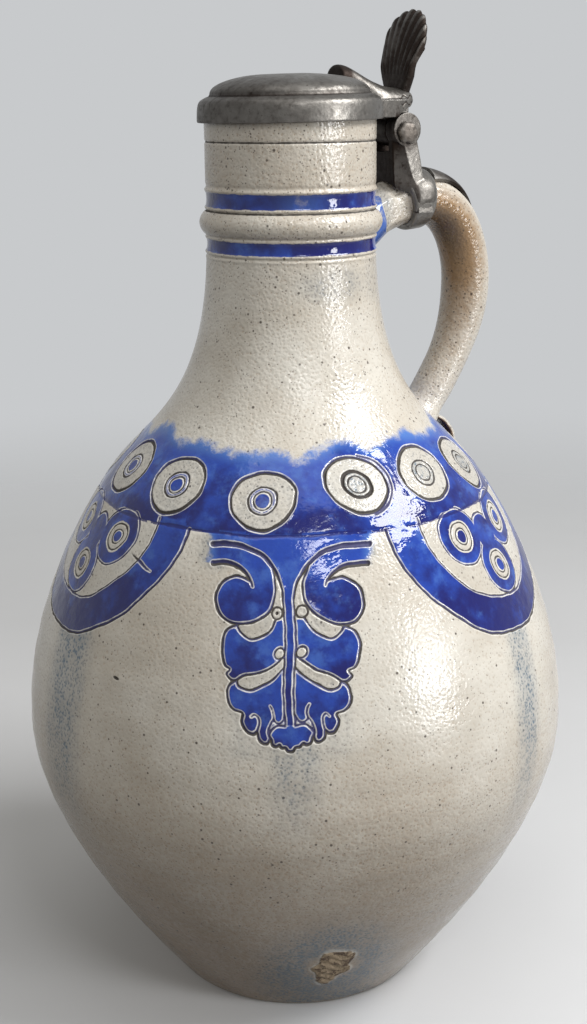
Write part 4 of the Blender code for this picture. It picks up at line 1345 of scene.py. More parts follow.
@dataclass
class PulledHandle:
    """The strap handle with its ribbed back and folded tail."""

    outline: Outline = field(default_factory=Outline)
    half_thickness: float = 10.25
    half_width: float = 11.75
    root: tuple = (31.5, 335.7)
    root_aim: tuple = (83.1, 365.4)
    outermost: tuple = (92.0, 309.0)
    top_pull: float = 14.4
    back_pull: float = 26.0
    foot_rise: float = 14.8
    foot_lean: float = 33.0
    foot_pull: float = 27.5
    foot_embed: float = 4.0
    furrow: float = 0.5
    furrows: tuple = (0.4, 0.85, 1.3)
    furrow_half: float = 0.13
    furrow_run: tuple = (24, 36, 84)
    flare: float = 2.2
    flare_run: float = 14.0
    taper: float = 0.16
    taper_run: tuple = (88, 128)
    smear_run: tuple = (141, 155)
    thin_run: tuple = (136, 157)
    worn_run: tuple = (8, 12, 21, 25)
    sides: int = 96
    facets: tuple = ((-0.5, 0.84), (-1.6, 0.86))
    notch: tuple = (19.9, -1.0, 0.2)
    notch_size: tuple = (2.3, 0.22)
    tail_line: tuple = (
        (66.0, 250.0), (69.5, 249.6), (73.6, 247.8), (77.3, 245.6), (79.9, 242.6), (81.7, 240.1), (82.3, 238.0),
        (82.9, 236.0), (83.1, 233.8), (81.6, 231.6), (78.5, 230.6),
    )
    tail_half: tuple = (1.1, 7.5)
    tail_swell: float = 0.7
    tail_fullness: float = 0.6
    tail_steps: int = 5
    tail_sides: int = 24
    tail_hollow: tuple = (-2.0, -0.3)
    tail_inside: tuple = (69.5, 248.0)
    root_edge: tuple = (41.4, 338.0)
    flash: tuple = ((0, 0.0), (25, 0.1), (35, 1.35), (54, 1.3), (70, 1.0), (95, 0.46), (118, 0.3), (145, 0.1))
    flash_turn: float = -2.5
    flash_half: float = 1.15

    def path(self) -> Array:
        """Centre line in the XZ plane, from inside the neck wall to inside the shoulder wall."""
        root, aim, far = (np.array(p) for p in (self.root, self.root_aim, self.outermost))
        lean = math.radians(self.foot_lean)
        landing = np.array([math.sin(lean), math.cos(lean)])
        height = self.outline.shoulder_height + self.foot_rise
        foot = np.array([float(self.outline.radius_at(height)), height]) - landing * self.foot_embed
        top = bezier(root, aim, far + (0, self.top_pull), far, 110)
        back = bezier(far, far - (0, self.back_pull), foot + landing * self.foot_pull, foot, 60)
        return np.vstack([top[:-1], back])

    def section(self, run: Array, turn: Array) -> tuple[Array, Array]:
        """The strap's section at running lengths and angles.

        Args:
            run: Running length from the root.
            turn: Angle round the section, 0 on the back and negative on the side that the camera sees.

        Returns:
            How far the surface lies outward and sideways.
        """
        start, full, end = self.furrow_run
        fade = smooth(start, full, run) * (1 - 0.9 * smooth(full, end, run))
        dip = sum(bell(np.abs(turn), place, self.furrow_half) for place in self.furrows)
        scale = 1 - self.furrow / self.half_thickness * dip * fade
        worn = smooth(*self.worn_run[:2], run) * (1 - smooth(*self.worn_run[2:], run))
        for aim, reach in self.facets:
            flat = np.minimum(1, reach / np.maximum(np.cos(turn - aim), 0.1))
            scale = scale * (1 + (flat - 1) * worn)
        (place, aim, depth), (long, wide) = self.notch, self.notch_size
        scale = scale - depth * np.exp(-(((run - place) / long) ** 2) - ((turn - aim) / wide) ** 2)
        scale = scale * (1 - self.taper * smooth(*self.taper_run, run))
        scale = scale * (1 + self.flare / self.half_width * (1 - smooth(0, self.flare_run, run)))
        smear = smooth(*self.smear_run, run) ** 2
        foot = np.where(np.cos(turn) > 0, 1 - 0.25 * smooth(*self.thin_run, run), 1 + 0.6 * smear)
        spread = 1 + 0.34 * smear
        return self.half_thickness * np.cos(turn) * scale * foot, self.half_width * np.sin(turn) * scale * spread

    def build(self, glaze: Finish) -> Piece:
        """Builds the handle and its tail as one mesh.

        Args:
            glaze: The salt glaze's material.

        Returns:
            The handle as an object.
        """
        path = self.path()
        run, turn = np.meshgrid(running_length(path), turns(self.sides) - math.pi, indexing="ij")
        bulge, spread = self.section(run, turn)
        plane = path[:, None] + side_normals(path)[:, None] * bulge[..., None]
        rows = np.stack([plane[..., 0], spread, plane[..., 1]], 2)
        handle = solid("handle_clay", *lofted(list(rows)))
        bpy.context.scene.collection.objects.link(handle)
        melded(handle, self._tail_object(), "UNION")
        bpy.context.scene.collection.objects.unlink(handle)
        self._dress(handle, glaze)
        return handle

    def _tail_object(self) -> Piece:
        """The tail's strap, bent out and back to the wall, slightly ragged along its sides."""
        path = through(self.tail_line, self.tail_steps)
        turn = turns(self.tail_sides)
        thick, wide = self.tail_half
        rows = []
        for k, (point, normal) in enumerate(zip(path, side_normals(path))):
            bulge = squared(np.cos(turn), self.tail_fullness) * (thick * (1 + self.tail_swell * k / len(path)))
            half = wide - k / len(path) + 0.15 * math.sin(k * 0.7)
            spread = squared(np.sin(turn), self.tail_fullness) * half
            plane = point + normal * bulge[:, None]
            rows.append(np.stack([plane[:, 0], spread, plane[:, 1]], 1))
        return solid("handle_tail", *lofted(rows))

    def _dress(self, handle: Piece, glaze: Finish) -> None:
        """Paints the brown flash on the handle's side, the smear at its root and painted shade inside its tail's
        loop.
        """
        mesh = handle.data
        x, y, z = places(mesh).T
        path = self.path()
        nearest, lift = beside(path, x, z)
        run = running_length(path)[nearest]
        turn = np.arctan2(y / self.half_width, lift / self.half_thickness)
        near = bell(wrapped(turn - self.flash_turn), 0.0, self.flash_half)
        stops = np.array(self.flash)
        warm = 0.2 + near * np.interp(run, stops[:, 0], stops[:, 1])
        inward = beside(through(self.tail_line, self.tail_steps), x, z)[1]
        (deep, shallow), (out_from, below) = self.tail_hollow, self.tail_inside
        # Painted shade: the points inside the tail's loop get the highest warm value, which the glaze turns dark
        # brown.
        shaded_inside = (inward > deep) & (inward < shallow) & (x > out_from) & (z < below)
        edge, rise = self.root_edge
        root = edge - x - 0.2 * (z - rise) + 1.1 * np.sin(0.7 * y)
        paint(mesh, {
            Paint.GROOVE: 6.0,
            Paint.COBALT: np.clip(root, -6, 6),
            Paint.VEIL: 0.9,
            Paint.DRIP: 0.7 * smooth(48, 40, x),
            Paint.WARM_AND_SHADE: np.where(shaded_inside, 1.4, warm),
            Paint.POOL: 0.5,
            Paint.SCAR: 0.0,
            Paint.FINE: 0.0,
            Paint.SPECK: 0.7 + (0.3 + 0.7 * smooth(76, 56, run)) * near,
        })
        shade_smooth(mesh, 50)
        mesh.materials.clear()
        mesh.materials.append(glaze)


def turned_mesh(name: str, profile: Array, steps: int) -> Mesh:
    """A closed solid turned about Z from a profile of (radius, height) rows that starts and ends on the axis."""
    turn = turns(steps)
    rings = [np.stack([r * np.cos(turn), r * np.sin(turn), np.full(steps, z)], 1) for r, z in profile[1:-1]]
    points = np.vstack([[(0, 0, profile[0][1])], *rings, [(0, 0, profile[-1][1])]])
    faces: list = grid_faces(len(rings), steps, True, 1)
    last = len(points) - 1
    for k in range(steps):
        after = (k + 1) % steps
        faces.append((0, 1 + after, 1 + k))
        faces.append((last, last - steps + k, last - steps + after))
    mesh = mesh_from(name, points, faces)
    fix_normals(mesh)
    return mesh


def lofted(rows: Sequence[Array]) -> tuple[Array, list]:
    """Points and faces of a closed loft through rings of equal count, capped at both ends."""
    sides = len(rows[0])
    faces: list = grid_faces(len(rows), sides, True)
    faces += [tuple(range(sides)), tuple(range((len(rows) - 1) * sides, len(rows) * sides))]
    return np.vstack(rows), faces


def cast(name: str, forms: Sequence[tuple[Array, list]], voxel: float, passes: int) -> Piece:
    """Melts closed forms into one cast piece with soft joins.

    Args:
        name: The piece's name.
        forms: Points in millimetres and faces of each closed form.
        voxel: Width of the remesh's cells in millimetres.
        passes: Smoothing passes.

    Returns:
        The piece, linked to the scene.
    """
    points, faces, count = [], [], 0
    for cloud, corners in forms:
        faces += [tuple(c + count for c in face) for face in corners]
        points.append(cloud)
        count += len(cloud)
    piece = solid(name, np.vstack(points), faces)
    bpy.context.scene.collection.objects.link(piece)
    remesh = piece.modifiers.new("melt", "REMESH")
    remesh.mode, remesh.voxel_size = "VOXEL", voxel * MM
    soften = piece.modifiers.new("soften", "SMOOTH")
    soften.factor, soften.iterations = 0.5, passes
    baked(piece)
    return piece


def dressed(piece: Piece, metal: Finish, crust_and_shade: Array) -> Piece:
    """Gives a cast piece its crust and painted shade, its smooth shading and metal, and takes it out of the scene
    until it is seated.
    """
    paint(piece.data, {Paint.CRUST_AND_SHADE: crust_and_shade})
    shade_smooth(piece.data, CAST_CREASE)
    piece.data.materials.clear()
    piece.data.materials.append(metal)
    bpy.context.scene.collection.objects.unlink(piece)
    return piece


def cut_away(piece: Piece, rows: Sequence[Array]) -> None:
    """Cuts a lofted form out of a piece that is linked to the scene."""
    melded(piece, solid("cutter", *lofted(rows)), "DIFFERENCE")
    mend(piece.data)


def looped(rings: Sequence[Array]) -> tuple[Array, list]:
    """Points and faces of rings of equal count whose last ring joins the first, as on a washer."""
    count, sides = len(rings), len(rings[0])
    faces = grid_faces(count + 1, sides, True)
    return np.vstack(rings), [tuple(corner % (count * sides) for corner in face) for face in faces]


def rod(centre: tuple, radius: float, low: float, high: float, sides: int = 48) -> list[Array]:
    """Two rings of a round rod along Y about a centre given as (x, z)."""
    turn = turns(sides)
    x, z = centre[0] + radius * np.cos(turn), centre[1] + radius * np.sin(turn)
    return [np.stack([x, np.full(sides, y), z], 1) for y in (low, high)]


@dataclass
class LidMount:
    """The pewter ring, spur and hinge post on the handle, with the iron pin and its burr."""

    handle: PulledHandle = field(default_factory=PulledHandle)
    ring_middle: float = 59.6
    ring_width: float = 12.0
    ring_thickness: float = 2.8
    ring_sides: int = 96
    gap: float = 0.3
    hinge_width: float = 24.0
    slot_half: float = 5.3
    slot_depth: float = 2.4
    leg: tuple = (
        (375.6, 47.4, 55.0, 46.6), (372.0, 48.2, 55.6, 45.8), (366.7, 49.9, 57.0, 45.6), (361.0, 51.9, 58.3, 46.0),
        (356.0, 53.8, 59.4, 46.3), (352.6, 55.1, 60.4, 46.5), (350.0, 55.4, 61.3, 48.0), (347.0, 55.5, 62.5, 50.0),
        (343.0, 55.5, 63.5, 52.0), (340.5, 55.5, 63.5, 53.0),
    )
    plate_edge: float = 8.5
    leg_flare: float = 2.3
    leg_dish: float = 0.9
    dish_half: float = 8.0
    pin_radius: float = 2.1
    head_radius: float = 4.8
    head_height: float = 2.4
    head_shift: tuple = (0.5, 1.3)
    burr_radius: float = 4.2
    burr_height: float = 1.8
    pin_end: float = 0.8
    spur_length: float = 22.0
    spur_half: float = 9.4
    spur_tip: float = 1.2
    spur_thickness: float = 3.0
    skirt_turn: float = 1.9
    skirt_half: float = 5.7
    skirt_bed: tuple = (6.5, 1.6, 0.35)
    melt: tuple = (0.34, 6)

    def _along(self) -> tuple[Array, Array, Array, float]:
        """The handle's path, its running length, its outward normals and the length at the ring's middle."""
        path = self.handle.path()
        length = running_length(path)
        first = int(np.argmax(path[:, 0] > self.ring_middle))
        return path, length, side_normals(path), float(length[first])

    def _on_handle(self, along: Array | float, turn: Array, lift: Array | float) -> Array:
        """Points over the handle's surface at running lengths, section angles and lifts."""
        path, length, out, _ = self._along()
        point, normal = (
            np.stack([np.interp(along, length, line[:, k]) for k in (0, 1)], -1) for line in (path, out)
        )
        thick, wide = self.handle.half_thickness + lift, self.handle.half_width + lift
        plane = point + normal * (thick * np.cos(turn))[:, None]
        return np.stack([plane[:, 0], wide * np.sin(turn), plane[:, 1]], 1)

    def ring(self, pewter: Finish) -> Piece:
        """The ring closed round the handle, crowned and with rounded edges, with painted shade on its side toward
        the neck.
        """
        middle = self._along()[3]
        half, thick, inner = self.ring_width / 2, self.ring_thickness, self.gap
        edge = [(-half, inner), (-half, thick * 0.55), (-half * 0.93, thick * 0.85), (-half * 0.75, thick * 1.0)]
        edge += [(0.0, thick * 1.08)]
        edge += [(-a, lift) for a, lift in reversed(edge[:-1])]
        edge += [(half * 0.5, inner), (0.0, inner), (-half * 0.5, inner)]
        turn = turns(self.ring_sides)
        rows = [self._on_handle(middle + a, turn, lift) for a, lift in edge]
        mesh = mesh_from("ring_pewter", *looped(rows))
        # Painted shade: the ring darkens towards its side nearer the neck.
        return finished(mesh, pewter, 0.05 + 0.5 * smooth(60, 54, places(mesh)[:, 0]), crease=45)

    def spur(self, pewter: Finish) -> Piece:
        """The strip along the handle's back, hugging it and running out in a point."""
        start = self._along()[3] + self.ring_width / 2 + self.gap
        rows = []
        for share in np.linspace(0, 1, 26):
            half = self.spur_half + (self.spur_tip - self.spur_half) * share**1.15
            thick = self.spur_thickness * (1 - 0.55 * share)
            spread = half / self.handle.half_width
            across = np.linspace(-1, 1, 15)
            crown = self.gap + thick * (1 - 0.35 * across**4)
            top = self._on_handle(start + self.spur_length * share, across * spread, crown)
            under = self._on_handle(start + self.spur_length * share, across[::-1] * spread, self.gap)
            rows.append(np.vstack([top, under]))
        mesh = mesh_from("spur_pewter", *lofted(rows))
        return finished(mesh, pewter, 0.5 + 0.25 * smooth(64, 84, places(mesh)[:, 0]), crease=40)

    def post(self, pewter: Finish) -> Piece:
        """The post: a broad arm that spreads over the ring and carries the two outer knuckles, with painted shade on
        its faces toward the neck and in its slot.

        Args:
            pewter: The metal.

        Returns:
            The post as an object.
        """
        middle, half = self._along()[3], self.hinge_width / 2
        forms = [
            lofted(rod(HINGE, KNUCKLE_RADIUS, *sorted((sign * self.slot_half, sign * half))))
            for sign in (-1, 1)
        ]
        rows = []
        for z, left, right, plate in through(self.leg, 4):
            dish, near = right - self.leg_dish, half + self.leg_flare * smooth(357, 348, np.array(z))
            front = [(left, -near), (right, -near), (dish, -self.dish_half), (dish, self.dish_half), (right, near)]
            back = [(plate, half), (plate, -self.plate_edge)]
            rows.append(np.array([(x, y, z) for x, y in front + back]))
        forms.append(lofted(rows))
        turn = np.linspace(-self.skirt_turn, self.skirt_turn, 61)
        bulge = 0.4 + 0.9 * bell(np.abs(turn), 1.15, 0.45) - 1.4 * smooth(1.5, 1.9, np.abs(turn))
        rows = []
        for share in np.linspace(-1, 1, 15):
            lift = self.ring_thickness + bulge * (1 - share**2) - 1.1 * share**8
            over = self._on_handle(middle + self.skirt_half * share, turn, lift)
            rows.append(np.vstack([over, self._on_handle(middle + self.skirt_half * share, turn[::-1], 1.0)]))
        forms.append(lofted(rows))
        piece = cast("post_pewter", forms, *self.melt)
        hx, hz = HINGE
        wide, low = 2 * KNUCKLE_RADIUS, hz - KNUCKLE_RADIUS - self.slot_depth
        corners = [(hx - wide, low), (hx + wide, low), (hx + wide, hz + wide), (hx - wide, hz + wide)]
        cut_away(piece, [np.array([(x, y, z) for x, z in corners]) for y in (-self.slot_half, self.slot_half)])
        cut_away(piece, rod(HINGE, self.pin_radius + self.gap, -30, 30))
        around = turns(72)
        reach, under, clear = self.skirt_bed
        lifts = [(away, under if abs(away) < reach else clear) for away in np.linspace(-26, 14, 41)]
        cut_away(piece, [self._on_handle(middle + away, around, lift) for away, lift in lifts])
        mesh = piece.data
        y, z = places(mesh)[:, 1:].T
        # Painted shade on the faces turned toward the neck and on the chamfer beside them, and full painted shade in
        # the slot; the near face of the outer knuckle is darker too.
        away = -facing(mesh)[:, 0]
        dark = 0.5 * smooth(0.22, 0.38, away) + 0.42 * smooth(0.55, 0.8, away) * smooth(-11.6, -8.0, y)
        dark = np.maximum(dark, 0.4 * smooth(366, 370, z) * smooth(10.5, 11.5, -y))
        slot = (np.abs(y) < self.slot_half + 0.3) & (z > low - 0.4) & (z < hz + 9)
        return dressed(piece, pewter, np.where(slot, 1.0, 0.18 + 0.9 * dark))

    def pin(self, iron: Finish) -> Piece:
        """The pin with its hammered, roughly six-sided head on the -Y side."""
        face = self.hinge_width / 2 + self.gap
        tip = -(face + self.burr_height + self.pin_end)
        head, high = self.head_radius, face + self.head_height
        shank = self.pin_radius
        profile = [
            (0, high + 0.25), (head * 0.4, high + 0.15), (head * 0.74, high), (head * 0.88, high - 0.35),
            (head * 0.97, high - 0.9), (head, high - 1.5), (head, face + 0.2), (head * 0.98, face), (shank, face),
            (shank, tip + 0.3), (shank - 0.3, tip), (0, tip),
        ]
        mesh = turned_mesh("pin_iron", np.array(profile), 72)
        x, y, rise = places(mesh).T
        turn, away = np.arctan2(y, x), np.hypot(x, y)
        on_head = (rise > face - 0.05) & (away > shank + 0.2)
        facet = 0.055 * np.cos(6 * turn + 0.7) + 0.03 * np.cos(2 * turn + 1.0) + 0.02 * np.cos(5 * turn)
        grow = np.where(on_head, 1 - 0.04 + facet * smooth(1.0, 4.0, away), 1.0)
        shift = np.where(on_head | (rise > face + 0.05), 1.0, 0.0)
        dent = np.where(rise > high - 0.2, 0.04 * np.sin(1.7 * x + 0.6) * np.sin(1.4 * y), 0.0)
        (hx, hz), (aside, below) = HINGE, self.head_shift
        move(mesh, np.stack([hx + x * grow - aside * shift, -(rise + dent), hz + y * grow - below * shift], 1))
        return finished(mesh, iron, 0.12, crease=38)

    def burr(self, iron: Finish) -> Piece:
        """The washer on the far side, under the pin's peened end."""
        near = self.hinge_width / 2 + self.gap
        bore, rim, far = self.pin_radius + self.gap, self.burr_radius, near + self.burr_height
        profile = [
            (bore, near), (rim - 0.3, near), (rim, near + 0.3), (rim, far - 0.6), (rim - 0.5, far - 0.1),
            (rim - 1.2, far), (bore, far),
        ]
        rings = [rod(HINGE, r, y, y)[0] for r, y in profile]
        return finished(mesh_from("burr_iron", *looped(rings)), iron, 0.2, crease=38)


@dataclass
class Lid:
    """The domed pewter lid with its tongue and its shell thumbpiece."""

    steps: int = 144
    outside: tuple = (
        (33.1, 390.3), (33.5, 389.6), (34.0, 389.4), (35.2, 388.9), (36.3, 388.3), (36.9, 387.9), (37.4, 387.4),
        (37.85, 386.6), (38.15, 385.5), (38.35, 384.2), (38.45, 382.6), (38.5, 381.0), (38.5, 379.9), (38.35, 379.4),
        (37.9, 379.2), (37.0, 379.2), (36.5, 379.5),
    )
    rim_radius: float = 38.5
    crease_radius: float = 33.7
    tilt: float = 0.0175
    dome_rise: float = 7.6
    fullness: float = 0.76
    seat: float = 385.0
    seat_inside: float = 29.0
    hollow_foot: float = 5.6
    ceiling: float = 396.3
    tongue_top: tuple = (
        (21.8, 401.5, 6.6), (22.6, 402.1, 6.9), (25.0, 401.9, 7.0), (27.6, 400.9, 7.4), (30.5, 399.4, 8.2),
        (33.5, 397.8, 9.4), (37.3, 395.8, 11.2), (43.6, 393.6, 12.0), (49.9, 392.8, 11.2), (54.0, 392.6, 9.4),
        (56.6, 391.6, 7.4),
    )
    tongue_base: tuple = (
        (21.8, 396.6), (27.6, 395.4), (30.5, 393.4), (33.5, 389.6), (37.3, 386.6), (43.6, 384.2), (49.9, 384.0),
        (54.0, 384.8), (56.6, 386.8),
    )
    lug_start: float = 37.4
    lug_end: float = 51.0
    lug_halves: tuple = (15.0, 14.2, 13.2, 12.2, 11.0)
    lug_low: float = 380.6
    lug_high: float = 388.0
    knuckle_half: float = 5.0
    clear: float = 7.6
    neck_half: tuple = (5.6, 4.7)
    neck_rises: tuple = (0.0, 9.0, 14.0)
    cracks: tuple = ((386.2, 0.0), (388.9, 0.5))
    crack_depth: float = 0.3
    bore: float = 2.4
    melt: tuple = (0.33, 6)
    thumb_line: tuple = ((53.2, 389.0), (53.6, 396.0), (53.9, 403.0), (55.2, 411.0), (57.5, 418.4), (60.2, 424.3))
    thumb_foot: tuple = (6.0, 389.0)
    thumb_waist: tuple = (10.5, 397.0)
    thumb_rim: tuple = ((0.0, 424.8), (5.4, 424.0), (10.2, 421.5), (13.2, 417.5), (14.3, 413.0), (13.8, 409.0))
    thumb_ribs: int = 9
    thumb_cells: tuple = (60, 145)
    thumb_stem: float = 0.2
    thumb_scallop: float = 0.9
    thumb_curl: tuple = (2.0, 0.9)
    thumb_thick: tuple = (5.0, 2.0)

    def cover(self, pewter: Finish) -> Piece:
        """The lid's shell: dome, ledge, rim with a raised edge, and the seat inside, with painted shade under the
        rim and on its side away from the lamps.

        Args:
            pewter: The metal.

        Returns:
            The lid as an object.
        """
        swing = np.linspace(0, math.pi / 2, 26)
        edge, foot = self.outside[0]
        dome = np.stack([edge * np.sin(swing) ** self.fullness, foot + self.dome_rise * np.cos(swing)], 1)
        rim = through(self.outside, 4)
        inner = np.array([(self.outside[-1][0], self.seat), (self.seat_inside, self.seat)])
        swing = np.linspace(math.pi / 2, 0, 12)[1:]
        hollow = np.stack([
            self.seat_inside * np.sin(swing) ** self.fullness,
            self.seat + self.hollow_foot + (self.ceiling - self.seat - self.hollow_foot) * np.cos(swing),
        ], 1)
        mesh = turned_mesh("lid_pewter", np.vstack([dome[:-1], rim, inner, hollow]), self.steps)
        x, y, z = places(mesh).T
        turn, away = np.arctan2(y, x), np.hypot(x, y)
        dent = 0.10 * np.sin(3 * turn + 0.5) + 0.07 * np.sin(5 * turn + 2.2) + 0.05 * np.sin(0.35 * x)
        z = z + dent * smooth(0, 20, away) * smooth(391, 393, z)
        z = z + (x + self.rim_radius) * self.tilt
        move(mesh, np.stack([x, y, z], 1))
        # Painted shade under the rim and on the lid's -X side, away from the lamps; the crease at the dome's foot is
        # darker as well.
        under = smooth(386.0, 384.0, z) * smooth(37.4, 36.8, away)
        crease = bell(away, self.crease_radius, 0.6) * (z > 388)
        crust_and_shade = 0.1 + 0.7 * under + 0.5 * crease + 0.35 * smooth(5, -40, x)
        return finished(mesh, pewter, crust_and_shade, crease=50)

    def tongue(self, pewter: Finish) -> Piece:
        """The tongue with its half-round end on the dome, and the lid's own knuckle under its other end, with
        painted shade under the lug.

        Args:
            pewter: The metal.

        Returns:
            The tongue as an object.
        """
        top = through(self.tongue_top, 4)
        base = np.array(self.tongue_base)
        rows = []
        arc = np.linspace(0, math.pi, 25)
        for x, z, half in top:
            low = float(np.interp(x, base[:, 0], base[:, 1]))
            square = np.interp(x, (20, 40), (1.0, 0.8))
            y = half * squared(np.cos(arc), square)
            rows.append(np.stack([np.full(arc.shape, x), y, low + (z - low) * np.sin(arc) ** square], 1))
        hx, hz = HINGE
        knuckle = rod(HINGE, KNUCKLE_RADIUS, -self.knuckle_half, self.knuckle_half)
        long, deep = self.neck_half
        corners = ((hx - long, -deep), (hx + long, -deep), (hx + long, deep), (hx - long, deep))
        neck = [np.array([(x, y, hz + rise) for x, y in corners]) for rise in self.neck_rises]
        forms = [lofted(rows), lofted(knuckle), lofted(neck), lofted(self._lug())]
        piece = cast("tongue_pewter", forms, *self.melt)
        near = self.knuckle_half + 0.02
        for low, high in ((-20.0, -near), (near, 20.0)):
            cut_away(piece, rod(HINGE, self.clear, low, high))
        cut_away(piece, rod(HINGE, self.bore, -30, 30))
        mesh = piece.data
        x, y, z = places(mesh).T
        crack = sum(bell(z - rise - 0.6 * np.sin(1.4 * x + shift), 0.0, 0.25) for rise, shift in self.cracks)
        crack = crack * smooth(46, 49, x) * smooth(-6.0, -8.5, y)
        move(mesh, np.stack([x, y + self.crack_depth * crack, z], 1))
        # The half-round end and the cracks are darker; the low parts under the lug carry painted shade.
        end = 0.6 * smooth(29.0, 25.0, x) + 0.4 * smooth(23.0, 22.2, x)
        under = smooth(384, 380, z) * smooth(43, 45, x)
        return dressed(piece, pewter, np.clip(0.95 * end + 0.9 * under + 0.8 * crack + 0.25, 0, 1))

    def _lug(self) -> list[Array]:
        """The part of the rim that runs out to the hinge, as rings from the rim outward."""
        rows = []
        start = np.linspace(-1, 1, 21) * self.lug_halves[0]
        first = np.sqrt(self.lug_start**2 - start**2)
        for share, half in zip(np.linspace(0, 1, len(self.lug_halves)), self.lug_halves):
            x, y = first + (self.lug_end - first) * share, start * half / self.lug_halves[0]
            low, high = (np.stack([x, y, np.full(x.shape, z)], 1) for z in (self.lug_low, self.lug_high))
            rows.append(np.vstack([low, high[::-1]]))
        return rows

    def thumbpiece(self, pewter: Finish) -> Piece:
        """The fan-shaped shell, ribbed on its front, scalloped along its edge and curled back.

        Args:
            pewter: The metal.

        Returns:
            The thumbpiece as an object.
        """
        rows, columns = self.thumb_cells
        across, up = np.meshgrid(np.linspace(-1, 1, columns), np.linspace(0, 1, rows))
        rim = through(self.thumb_rim, 8)
        length = running_length(rim)
        rim_y, rim_z = (np.interp(np.abs(across) * length[-1], length, rim[:, k]) for k in (0, 1))
        rim_y = rim_y * np.sign(across)
        (foot_y, foot_z), (waist_y, waist_z) = self.thumb_foot, self.thumb_waist
        lead_y, lead_z = 0.45 * waist_y * across + 0.55 * rim_y, waist_z + 0.55 * (rim_z - waist_z)
        rib = np.abs(np.sin((across + 1) / 2 * self.thumb_ribs * math.pi)) ** 0.7
        reach = np.hypot(rim_y - lead_y, rim_z - lead_z)
        rim_y, rim_z = (
            end + (end - lead) / reach * self.thumb_scallop * (rib - 1)
            for end, lead in ((rim_y, lead_y), (rim_z, lead_z))
        )
        stem = self.thumb_stem
        rise, fan = np.clip(up / stem, 0, 1), np.clip((up - stem) / (1 - stem), 0, 1)
        sides = ((foot_y * across, waist_y * across, lead_y, rim_y), (foot_z, waist_z, lead_z, rim_z))
        y, z = (
            np.where(
                up < stem,
                foot + (waist - foot) * rise,
                (1 - fan) ** 2 * waist + 2 * fan * (1 - fan) * lead + fan**2 * end,
            )
            for foot, waist, lead, end in sides
        )
        line = through(self.thumb_line, 6)
        side_curl, tip_curl = self.thumb_curl
        middle = np.interp(z, line[:, 1], line[:, 0]) + side_curl * across**2 * smooth(0.3, 1, up) + tip_curl * up**5
        ribbed = smooth(0.18, 0.5, up)
        low_thick, high_thick = self.thumb_thick
        thick = low_thick + (high_thick - low_thick) * smooth(0.05, 0.8, up)
        thin = np.sqrt(np.clip(1 - np.abs(across) ** 10, 0, 1)) * np.sqrt(np.clip(1 - up**24, 0, 1))
        front = middle - thick / 2 * thin - (rib - 0.45) * ribbed
        rear = np.maximum(middle + thick / 2 * thin, front + 0.05)
        points = np.vstack([np.stack([g.ravel() for g in (face, y, z)], 1) for face in (front, rear)])
        count = rows * columns
        faces = grid_faces(rows, columns, False)
        faces += [tuple(corner + count for corner in face[::-1]) for face in faces]
        number = np.arange(count).reshape(rows, columns)
        edge = np.r_[number[0], number[1:, -1], number[-1, -2::-1], number[-2:0:-1, 0]].tolist()
        faces += [(a, b, b + count, a + count) for a, b in zip(edge, edge[1:] + edge[:1])]
        worn = smooth(0.75, 1.0, rib * ribbed) * (0.35 + 0.65 * smooth(0.6, 1.0, up))
        crust_and_shade = np.concatenate([0.82 - 0.42 * worn.ravel(), np.full(count, 0.8)])
        return finished(mesh_from("thumb_pewter", points, faces), pewter, crust_and_shade, crease=60)


@dataclass(frozen=True)
class Lamp:
    """A soft box that faces the jug's shoulder, in degrees right of the camera and up, metres and watts."""

    name: str
    side: float
    rise: float
    away: float
    width: float
    height: float
    power: float
    mirrored: bool = True


